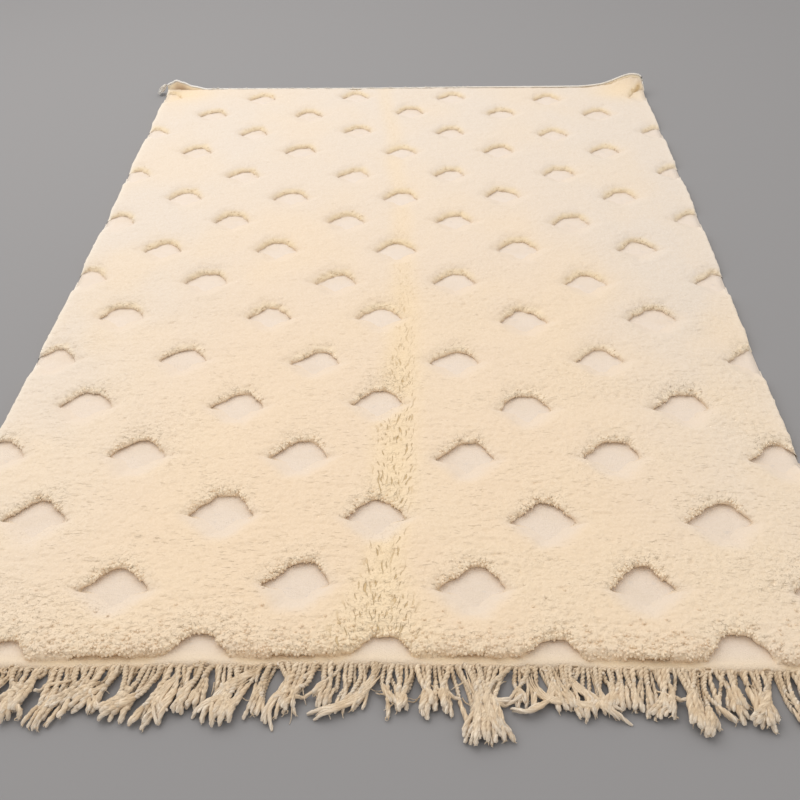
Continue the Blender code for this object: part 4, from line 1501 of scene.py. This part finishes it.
@dataclass(frozen=True)
class Fringe:
    """The warp ends: twisted cords that gather in uneven bunches and fray into matted brushes."""

    plan: RugPlan
    finish: YarnFinish
    spinner: Spinner
    cords: int = 240
    cord_radius: float = 4.0 * MM
    strand_radius: float = 3.5 * MM
    turns: tuple[tuple[float, float], ...] = ((15 * MM, 0.2), (25 * MM, 0.13))
    strand_turn: float = 60 * MM
    strip_length: float = 7 * MM
    strip_radius: float = 2.2 * MM
    strip_turn: float = 12 * MM
    bunch_sizes: tuple[int, int] = (4, 11)
    lengths: Span = (84 * MM, 124 * MM)
    leans: tuple[float, ...] = in_mm(-40, -52, -30, -58, -38, -12, 6, 30, 52, 10, 44, 26, 34)
    tassel_x: float = 0.13
    tassel_width: float = 55 * MM
    tassel_cords: int = 15
    tassel_length: float = 158 * MM
    tassel_fan: float = 1.25
    whole: Span = (0.34, 0.82)
    brush: tuple[BrushPoint, ...] = (
        BrushPoint(0.0, 0.55),
        BrushPoint(0.16, 0.95),
        BrushPoint(0.34, 1.12),
        BrushPoint(0.52, 1.2),
        BrushPoint(0.70, 1.2),
        BrushPoint(0.86, 1.12),
        BrushPoint(0.96, 0.95),
        BrushPoint(1.0, 0.55),
    )
    brush_lift: float = 5 * MM
    matting: Span = (0.85, 1.5)
    crossing_share: float = 0.2
    look_ahead: float = 40 * MM
    give: float = 26 * MM
    bend: float = 5.5
    stray_yarns: int = 70
    stray_walk: Walk = Walk((6, 14), 0.96, 6.0, 3 * MM)
    drapes: int = 6
    drape_walk: Walk = Walk((14, 22), 0.9, 4.0)
    loops: int = 46
    loop_points: int = 14
    ropes: tuple[tuple[tuple[float, float], ...], ...] = (
        ((165, 12), (172, 58), (190, 78), (222, 76), (252, 50)),
        ((312, 8), (300, 48), (284, 78), (256, 98), (228, 88)),
        ((262, 8), (268, 46), (292, 72), (329, 76), (358, 84), (368, 66), (352, 52)),
        ((316, 10), (344, 50), (382, 84), (424, 105)),
        ((-318, 8), (-340, 48), (-352, 86), (-332, 115)),
        ((-196, 10), (-232, 58), (-273, 86), (-283, 110)),
        ((-118, 8), (-150, 58), (-170, 96), (-168, 130)),
        ((12, 8), (0, 42), (-26, 78), (-59, 93), (-101, 101)),
        ((-186, 8), (-215, 26), (-240, 48), (-249, 78)),
    )
    rope_strands: int = 4
    rope_step: float = 5 * MM
    rope_easing: int = 9
    step: float = 3.6 * MM
    floor_reach: float = 1.0
    floor_depth: Span = (-240 * MM, 30 * MM)
    seed: int = 140

    def ends(self) -> tuple[float, float]:
        """Where the near end's left and right corners lie across the rug."""
        return self.plan.corners(self.plan.near)

    def bunches(self, shuffle: random.Random) -> Iterator[Bunch]:
        """The bunches from left to right."""
        left, right = self.ends()
        first, last = left + 5 * MM, right - 5 * MM
        roots = [first + (last - first) * index / (self.cords - 1) for index in range(self.cords)]
        lean = 0.0
        while roots:
            tight = 0 <= roots[0] - self.tassel_x < self.tassel_width
            size = min(len(roots), self.tassel_cords if tight else shuffle.randint(*self.bunch_sizes))
            own = [root + shuffle.uniform(-1.5, 1.5) * MM for root in roots[:size]]
            roots = roots[size:]
            middle = sum(own) / size + shuffle.gauss(0.0, 4 * MM)
            lean = 0.4 * lean + shuffle.gauss(0.0, 20 * MM)
            main_lean = float(table_at(self.leans, np.float64((middle - left) / (right - left))))
            length = self.tassel_length if tight else shuffle.uniform(*self.lengths)
            layer, matted = shuffle.random() + 2 * tight, shuffle.uniform(*self.matting)
            yield Bunch(own, middle, 8 * MM if tight else main_lean + lean, length, layer, matted, tight)

    def strip_y(self, x: float, share: float) -> float:
        """The place along the rug of a share of the strip's length, where 0 is at the cloth."""
        return self.plan.near + float(self.plan.stray(np.float64(x))) - self.strip_length * share

    def root_y(self, x: float) -> float:
        """Where a cord leaves the strip."""
        return self.strip_y(x, 0.6)

    def cord_line(self, shuffle: random.Random, root: float, held: float, lean: float,
                  length: float) -> list[Vector]:
        """The floor plan of one cord, which wanders towards its bunch.

        Args:
            shuffle: The source of its unevenness.
            root: Where it starts across the rug.
            held: Where its bunch draws it.
            lean: How far its tip leans sideways.
            length: How long it is.

        Returns:
            Its points, from inside the strip to its tip.
        """
        x, y = root, self.root_y(root) + shuffle.gauss(0.0, 1.6 * MM)
        heading, bend = -math.pi / 2 + shuffle.gauss(0.0, 0.22), shuffle.gauss(0.0, 5.0)
        count = int(length / self.step)
        points = []
        for index in range(count + 1):
            share = index / count
            points.append(Vector((x, y, self.strip_radius * (1 - min(share * 9, 1.0)))))
            wanted = math.atan2(-self.look_ahead, held + lean * share - x)
            bend = 0.86 * bend + shuffle.gauss(0.0, self.bend)
            heading += self.step * (bend + (wanted - heading) / self.give)
            x, y = x + self.step * math.cos(heading), y + self.step * math.sin(heading)
        return points

    def frayed(self, shuffle: random.Random, tail: list[Vector], matted: float) -> Iterator[Route]:
        """The matted brush that a cord comes apart into, with a few loose hairs at its end.

        Args:
            shuffle: The source of their unevenness.
            tail: The floor plan of the cord's last part.
            matted: How thick the bunch's brushes are.

        Yields:
            One route for each strand.
        """
        start, end = tail[0], tail[-1]
        side = Vector((end.y - start.y, start.x - end.x, 0.0)).normalized()
        for _ in range(shuffle.randint(1, 3)):
            spread, curl = shuffle.gauss(0.0, 5.5 * MM), shuffle.gauss(0.0, 2.6 * MM)
            phase, reach = shuffle.uniform(0, 6.3), shuffle.uniform(0.85, 1.1)
            fullness = shuffle.uniform(0.75, 1.1) * matted
            route = []
            for point in self.brush:
                aside = spread * point.share**0.7 + curl * math.sin(phase + 5 * point.share) * point.share
                place = midway(tail, point.share) + side * aside + (end - start) * (reach - 1) * point.share
                height = self.brush_lift * math.sin(math.pi * min(point.share * 0.85, 1.0))
                route.append((Vector((place.x, place.y, height)), fullness * point.thickness))
            yield route
            tip = route[-2][0]
            for _ in range(shuffle.randint(0, 2)):
                ahead = (end - start).normalized() * shuffle.uniform(3, 8) * MM
                ahead = ahead + side * shuffle.gauss(0.0, 3 * MM)
                bow = side * shuffle.gauss(0.0, 2 * MM)
                middle = [(tip + ahead * 0.4 + bow, 0.3), (tip + ahead * 0.8 + bow, 0.2)]
                yield [(tip, 0.5), *middle, (tip + ahead, 0.12)]

    def walked(self, shuffle: random.Random, x: float, y: float, heading: float, bend: float,
               walk: Walk) -> list[Vector]:
        """The floor plan of a loose yarn that wanders over the cords.

        Args:
            shuffle: The source of its unevenness.
            x: Where it starts across the rug.
            y: Where it starts along the rug.
            heading: The angle at which it sets out.
            bend: How tightly it curves at first.
            walk: How it goes on.

        Returns:
            Its points.
        """
        left, right = self.ends()
        line = []
        for _ in range(shuffle.randint(*walk.steps)):
            line.append(Vector((x, y, 0.0)))
            bend = walk.hold * bend + shuffle.gauss(0.0, walk.stray)
            heading += bend * self.step
            x = min(max(x + self.step * math.cos(heading), left), right)
            y = min(y + self.step * math.sin(heading), self.root_y(x) + walk.over)
        return line

    def draped(self, shuffle: random.Random) -> Iterator[list[Vector]]:
        """Matted ropes that lie sideways over the cords, as floor plans."""
        left, right = self.ends()
        for index in range(self.drapes):
            x = left + (right - left) * (index + shuffle.uniform(0.2, 0.8)) / self.drapes
            y = self.root_y(x) - shuffle.uniform(22, 55) * MM
            way = -1 if x < 0 else 1
            heading, bend = -math.pi / 2 + way * shuffle.uniform(0.45, 0.95), shuffle.gauss(0.0, 7.0)
            yield self.walked(shuffle, x, y, heading, bend, self.drape_walk)

    def eased(self, values: Array) -> Array:
        """A rope's route along one axis with its corners rounded."""
        padded = np.pad(values, self.rope_easing // 2, mode="reflect", reflect_type="odd")
        return np.convolve(padded, np.full(self.rope_easing, 1 / self.rope_easing), "valid")

    def roped(self, shuffle: random.Random) -> Iterator[list[Vector]]:
        """The strands of the matted ropes, as floor plans."""
        for rope in self.ropes:
            x, y = np.array(rope).T * MM
            steps = np.linspace(0.0, len(x) - 1, 9 * (len(x) - 1) + 1)
            x, y = (self.eased(np.interp(steps, range(len(axis)), axis)) for axis in (x, -y))
            slope = np.arctan2(np.gradient(y), np.gradient(x))
            share = np.linspace(0.0, 1.0, len(x))
            for index in range(self.rope_strands):
                aside = (index - (self.rope_strands - 1) / 2) * self.rope_step
                flare = shuffle.gauss(0.0, 5 * MM)
                sway = aside * (1 - 0.45 * np.sin(math.pi * share)) + flare * share**3
                across, along = x - sway * np.sin(slope), y + sway * np.cos(slope)
                line = [Vector((a, self.root_y(a) + b, 0.0)) for a, b in zip(across, along)]
                yield line[shuffle.randint(0, 3) : len(line) - shuffle.randint(0, 7)]

    def looped(self, shuffle: random.Random) -> Iterator[list[Vector]]:
        """Loops of loose yarn at the cords' roots, as floor plans."""
        left, right = self.ends()
        for _ in range(self.loops):
            x, size = left + (right - left) * shuffle.random() ** 1.35, shuffle.uniform(4, 9) * MM
            y = self.root_y(x) - shuffle.uniform(-4, 12) * MM
            start = shuffle.uniform(0.0, FULL_TURN)
            sweep = shuffle.choice((-1, 1)) * shuffle.uniform(3.2, 5.8)
            flat = shuffle.uniform(0.5, 1.0)
            line = []
            for index in range(self.loop_points):
                angle = start + sweep * index / (self.loop_points - 1)
                line.append(Vector((x + size * math.cos(angle), y + size * flat * math.sin(angle), 0.0)))
            yield line

    def wisps(self, shuffle: random.Random) -> Iterator[list[Vector]]:
        """Thin stray yarns that curl over the cords, as floor plans."""
        left, right = self.ends()
        for _ in range(self.stray_yarns):
            x, heading = shuffle.uniform(left + 20 * MM, right - 20 * MM), shuffle.gauss(-math.pi / 2, 0.9)
            y = self.root_y(x) - 70 * MM * shuffle.random()
            yield self.walked(shuffle, x, y, heading, shuffle.gauss(0.0, 16.0), self.stray_walk)

    def cord_plans(self, shuffle: random.Random) -> list[tuple[float, list[Vector], float, float]]:
        """The cords from the lowest to the highest.

        Args:
            shuffle: The source of their unevenness.

        Returns:
            For each its layer, its floor plan, the share of it that stays whole and its brushes' thickness.
        """
        plans = []
        for bunch in self.bunches(shuffle):
            for root in bunch.roots:
                crossing = shuffle.random() < self.crossing_share and not bunch.tight
                hold = 0.93 if bunch.tight else shuffle.uniform(0.25, 0.92)
                lean = bunch.lean + shuffle.gauss(0.0, 42 * MM if crossing else 7 * MM)
                lean += (root - bunch.middle) * self.tassel_fan * bunch.tight
                length = bunch.length + shuffle.uniform(-14, 8) * MM
                line = self.cord_line(shuffle, root, root + (bunch.middle - root) * hold, lean, length)
                layer = bunch.layer + shuffle.uniform(0.0, 0.5) + crossing
                plans.append((layer, line, shuffle.uniform(*self.whole), bunch.matted))
        return sorted(plans, key=lambda plan: plan[0])

    def routes(self) -> tuple[list[Route], list[Route]]:
        """The routes of all cords and of all loose strands, laid on the floor and on each other."""
        shuffle = random.Random(self.seed)
        low, high = (self.plan.near + depth for depth in self.floor_depth)
        floor = HeightMap((-self.floor_reach, low), (self.floor_reach, high))
        cords, strands = [], []
        for _, line, whole, matted in self.cord_plans(shuffle):
            first = max(int(len(line) * whole), 8)
            size = shuffle.uniform(0.85, 1.15)
            swells = [size * (1 + 0.06 * math.sin(index * 0.9 + line[0].x * 400)) for index in range(first)]
            swells[-3:] = [swell * end for swell, end in zip(swells[-3:], (0.95, 0.8, 0.5))]
            cords.append(floor.lay(list(zip(line[:first], swells)), self.cord_radius))
            brushes = self.frayed(shuffle, line[first - 3 :], matted)
            strands.extend(floor.lay(route, self.strand_radius) for route in brushes)
        shares, sizes = (0.0, 0.2, 0.7, 0.95, 1.0), (0.25, 0.7, 1.05, 0.9, 0.5)
        for line in (*self.draped(shuffle), *self.roped(shuffle)):
            swells = np.interp(np.linspace(0.0, 1.0, len(line)), shares, sizes)
            strands.append(floor.lay(list(zip(line, swells)), self.strand_radius))
        for line in self.looped(shuffle):
            size = shuffle.uniform(0.4, 0.75)
            strands.append(floor.lay([(point, size) for point in line], self.strand_radius))
        for line in self.wisps(shuffle):
            size = shuffle.uniform(0.18, 0.42)
            route = [(point, size * (1 - 0.5 * (index / len(line)) ** 2)) for index, point in enumerate(line)]
            strands.append(floor.lay(route, self.strand_radius))
        return cords, strands

    def strip(self) -> Route:
        """The twined strip along the near end."""
        left, right = self.ends()
        route = []
        for x in np.arange(left + 2 * MM, right - 1 * MM, 3 * MM):
            place = (x, self.strip_y(x, 0.5) + 0.8 * MM * math.sin(x * 90), self.strip_radius)
            route.append((Vector(place), 1.0))
        return route

    def build(self, wool: bpy.types.NodeTree) -> list[bpy.types.Object]:
        """The fringe's two pieces: the cords with their strip, and the frayed strands."""
        material = self.finish.material(wool)
        cords, strands = self.routes()
        spun = self.spinner.spun
        main = [
            spun("cords", cords[index :: len(self.turns)], material, self.cord_radius, turn, 2, depth)
            for index, (turn, depth) in enumerate(self.turns)
        ]
        strip = spun("strip", [self.strip()], material, self.strip_radius, self.strip_turn, 2, 0.2)
        loose = spun("fringe_frays", strands, material, self.strand_radius, self.strand_turn, 3, 0.12)
        return [
            finished(joined("fringe_cords", (*main, strip)), Slot.FRINGE, "near_fringe"),
            finished(loose, Slot.FRINGE, "near_fringe"),
        ]


@dataclass(frozen=True)
class TuftPoint:
    """A point of one of the far cord's ends, from its corner, with its thickness as a share of the cord's."""

    outward: float
    nearer: float
    up: float
    thickness: float

    def towards(self, other: "TuftPoint", share: float) -> tuple[float, float, float]:
        """The place at a share of the way to another point."""
        pairs = ((self.outward, other.outward), (self.nearer, other.nearer), (self.up, other.up))
        return tuple(before + (after - before) * share for before, after in pairs)


@dataclass(frozen=True)
class FarCord:
    """The cord along the top of the far lip, whose loose end frays past the left corner."""

    plan: RugPlan
    finish: YarnFinish
    spinner: Spinner
    radius: float = 3.1 * MM
    turn: float = 17 * MM
    clearance: float = 0.3 * MM
    step: float = 3.2 * MM
    start: float = 9 * MM
    corner: tuple[TuftPoint, ...] = (
        TuftPoint(-5 * MM, 22 * MM, 12 * MM, 0.4),
        TuftPoint(-6 * MM, 12 * MM, 16 * MM, 0.8),
        TuftPoint(-8 * MM, 4 * MM, 18.5 * MM, 1.0),
    )
    tuft: tuple[TuftPoint, ...] = (
        TuftPoint(3 * MM, 1 * MM, 37 * MM, 0.9),
        TuftPoint(10 * MM, 2 * MM, 28 * MM, 0.9),
        TuftPoint(18 * MM, 4 * MM, 20 * MM, 0.9),
        TuftPoint(25 * MM, 7 * MM, 14 * MM, 0.9),
        TuftPoint(31 * MM, 10 * MM, 11 * MM, 0.9),
    )
    strands: int = 44
    strand_points: int = 9
    lowest: float = 1.3 * MM
    fray_seed: int = 9
    stubs: int = 90
    stub_span: Span = (-0.72, 0.95)
    stub_seed: int = 12
    fray_radius: float = 2.4 * MM
    fray_turn: float = 30 * MM

    def route(self) -> Route:
        """The cord's route, from the right corner to where it starts to fray."""
        left, right = self.plan.corners(self.plan.far)
        x = np.linspace(right - self.start, left, int((right - left) / self.step))
        top = self.plan.lip_top(x)
        slope = np.gradient(top, x)
        reach = (self.radius + self.clearance) / np.sqrt(1 + slope**2)
        sway = 0.5 * MM * patches(x, np.zeros_like(x), 30 * MM, 31)
        route = []
        for point in self.corner:
            z = float(self.plan.lift(np.float64(right), np.float64(self.plan.far - point.nearer))) + point.up
            place = (right + point.outward, self.plan.lip_middle - point.nearer, z)
            route.append((Vector(place), point.thickness))
        route += [
            (Vector((place - over * tilt, self.plan.lip_middle + aside, height + over)), 1.0)
            for place, height, over, tilt, aside in zip(x, top, reach, slope, sway)
        ]
        for point in self.tuft[:2]:
            place = (left - point.outward, self.plan.lip_middle - point.nearer, point.up)
            route.append((Vector(place), point.thickness))
        return route

    def fray(self) -> list[Route]:
        """The loose strands of the cord's end, which sink to the floor."""
        shuffle = random.Random(self.fray_seed)
        left, _ = self.plan.corners(self.plan.far)
        routes = []
        for _ in range(self.strands):
            spread, swell = shuffle.uniform(-17, 20) * MM, shuffle.uniform(-8, 18) * MM
            reach, aside = shuffle.uniform(0.6, 1.0), shuffle.uniform(-9, 8) * MM
            route = []
            for share in np.linspace(0.0, 1.0, self.strand_points):
                place = share * reach * (len(self.tuft) - 1)
                index = min(int(place), len(self.tuft) - 2)
                outward, nearer, up = self.tuft[index].towards(self.tuft[index + 1], place - index)
                outward, nearer = outward + aside * share, nearer + spread * share**1.3
                up = max(up + (swell - 4 * MM) * share * (1.4 - share), self.lowest)
                wave = 1.5 * MM * math.sin(share * 9 + spread * 900)
                thickness = 0.7 + 0.5 * math.sin(math.pi * share) - 0.3 * share**3
                route.append((Vector((left - outward, self.plan.lip_middle - nearer - wave, up)), thickness))
            routes.append(route)
        return routes

    def ragged(self) -> list[Route]:
        """Short loose yarn ends that stand up along the left half of the cord."""
        shuffle = random.Random(self.stub_seed)
        first, width = self.stub_span
        routes = []
        for _ in range(self.stubs):
            x = first + width * shuffle.random() ** 1.3
            top = float(self.plan.lip_top(np.float64(x))) + self.radius
            rise, aside = shuffle.uniform(3, 7.5) * MM, shuffle.gauss(0.0, 3 * MM)
            y = self.plan.lip_middle + shuffle.uniform(-3, 1) * MM
            middle = (x + aside * 0.6, y - 1 * MM, top + rise * 0.7)
            tip = (x + aside, y - 2 * MM, top + rise)
            routes.append([(Vector((x, y, top)), 0.9), (Vector(middle), 0.8), (Vector(tip), 0.4)])
        return routes

    def build(self, wool: bpy.types.NodeTree) -> bpy.types.Object:
        """The cord's object."""
        material = self.finish.material(wool)
        cord = self.spinner.spun("cord", [self.route()], material, self.radius, self.turn, 2, 0.2)
        loose = self.fray() + self.ragged()
        fray = self.spinner.spun("fray", loose, material, self.fray_radius, self.fray_turn, 2, 0.12, 5)
        return finished(joined("end_cord", (cord, fray)), Slot.CORD, "far_cord")


# ---- studio ----


@dataclass(frozen=True)
class Studio:
    """The plain floor, the soft light and the camera."""

    place: tuple[float, float, float] = (0.10625, -2.52953, 1.46932)
    pitch_down: float = 0.626227
    yaw: float = 0.040409
    roll: float = -0.019721
    lens: float = 50.0
    sensor: float = 36.0
    floor_colour: Colour = (0.25, 0.243, 0.245)
    floor_roughness: float = 0.9
    floor_reach: float = 40.0
    lamp_size: tuple[float, float] = (5.0, 4.0)
    lamp_power: float = 95.0
    lamp_colour: Colour = (1.0, 0.985, 0.96)
    lamp_place: tuple[float, float, float] = (-1.5, 1.3, 3.4)
    lamp_target: tuple[float, float, float] = (0.0, 0.2, 0.0)
    sky_colour: Colour = (1.0, 0.99, 0.975)
    sky_strength: float = 0.89

    def camera(self) -> None:
        """The camera at the photograph's angle."""
        data = bpy.data.cameras.new("camera")
        data.lens = self.lens
        data.sensor_width = self.sensor
        made = linked("camera", data)
        turn_right, turn_down = math.cos(self.yaw), math.cos(self.pitch_down)
        side, drop = math.sin(self.yaw), math.sin(self.pitch_down)
        ahead = Vector((-side * turn_down, turn_right * turn_down, -drop))
        level = Vector((turn_right, side, 0.0))
        up = level.cross(ahead)
        right = level * math.cos(self.roll) + up * math.sin(self.roll)
        up = up * math.cos(self.roll) - level * math.sin(self.roll)
        turned = Matrix((right, up, -ahead)).transposed().to_4x4()
        made.matrix_world = Matrix.Translation(self.place) @ turned
        bpy.context.scene.camera = made

    def floor(self) -> None:
        """The plain floor."""
        points = self.floor_reach * np.array([(-1, -1, 0), (1, -1, 0), (1, 1, 0), (-1, 1, 0)], float)
        made = mesh_object("floor", points, np.array([[0, 1, 2, 3]]), {})
        material = bpy.data.materials.new("floor")
        material.use_nodes = True
        shader = material.node_tree.nodes["Principled BSDF"]
        shader.inputs["Base Color"].default_value = (*self.floor_colour, 1.0)
        shader.inputs["Roughness"].default_value = self.floor_roughness
        made.data.materials.append(material)

    def lights(self) -> None:
        """A wide soft light over the far end and a pale sky all round."""
        lamp = bpy.data.lights.new("window", "AREA")
        lamp.shape = "RECTANGLE"
        lamp.size, lamp.size_y = self.lamp_size
        lamp.energy = self.lamp_power
        lamp.color = self.lamp_colour
        made = linked("window", lamp)
        made.location = self.lamp_place
        aim = Vector(self.lamp_target) - made.location
        made.rotation_euler = aim.to_track_quat("-Z", "Y").to_euler()
        world = bpy.data.worlds.new("sky")
        world.use_nodes = True
        sky = world.node_tree.nodes["Background"]
        sky.inputs["Color"].default_value = (*self.sky_colour, 1.0)
        sky.inputs["Strength"].default_value = self.sky_strength
        bpy.context.scene.world = world

    def build(self) -> None:
        """Sets up the whole studio."""
        self.camera()
        self.floor()
        self.lights()
        bpy.context.scene.view_settings.view_transform = "Standard"


def main() -> None:
    """Dresses the rug, piece by piece, in its studio."""
    logging.basicConfig(level=logging.INFO, format="%(name)s: %(message)s")
    Studio().build()
    plan = RugPlan(far=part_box("woven_field")[1].y)
    wool = wool_group()
    spinner = Spinner.ready()
    pile_finish = PileFinish("pile wool", fibre=1.6 * MM, tuft=5.5 * MM, relief=1.6 * MM)
    ground_finish = GroundFinish("ground weave", fibre=1.2 * MM, tuft=3.0 * MM, relief=0.5 * MM)
    yarn = {"fibre": 0.9 * MM, "tuft": 2.2 * MM, "relief": 0.35 * MM}
    fringe_finish = YarnFinish("fringe yarn", **yarn)
    cord_finish = YarnFinish(
        "cord yarn",
        **yarn,
        light=(0.96, 0.93, 0.88),
        worn=(0.88, 0.83, 0.75),
        groove_shade=(0.56, 0.47, 0.37),
        tip=(1.0, 1.0, 0.99),
    )
    pattern = RecessPattern(plan)
    on_cloth = PileField(plan, pattern, pile_finish).build(wool)
    on_cloth += Fringe(plan, fringe_finish, spinner).build(wool)
    on_cloth.append(FarCord(plan, cord_finish, spinner).build(wool))
    weave = GroundWeave(plan, pattern, ground_finish)
    ground = weave.build(wool)
    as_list(on_cloth)


if __name__ == "__main__":
    main()
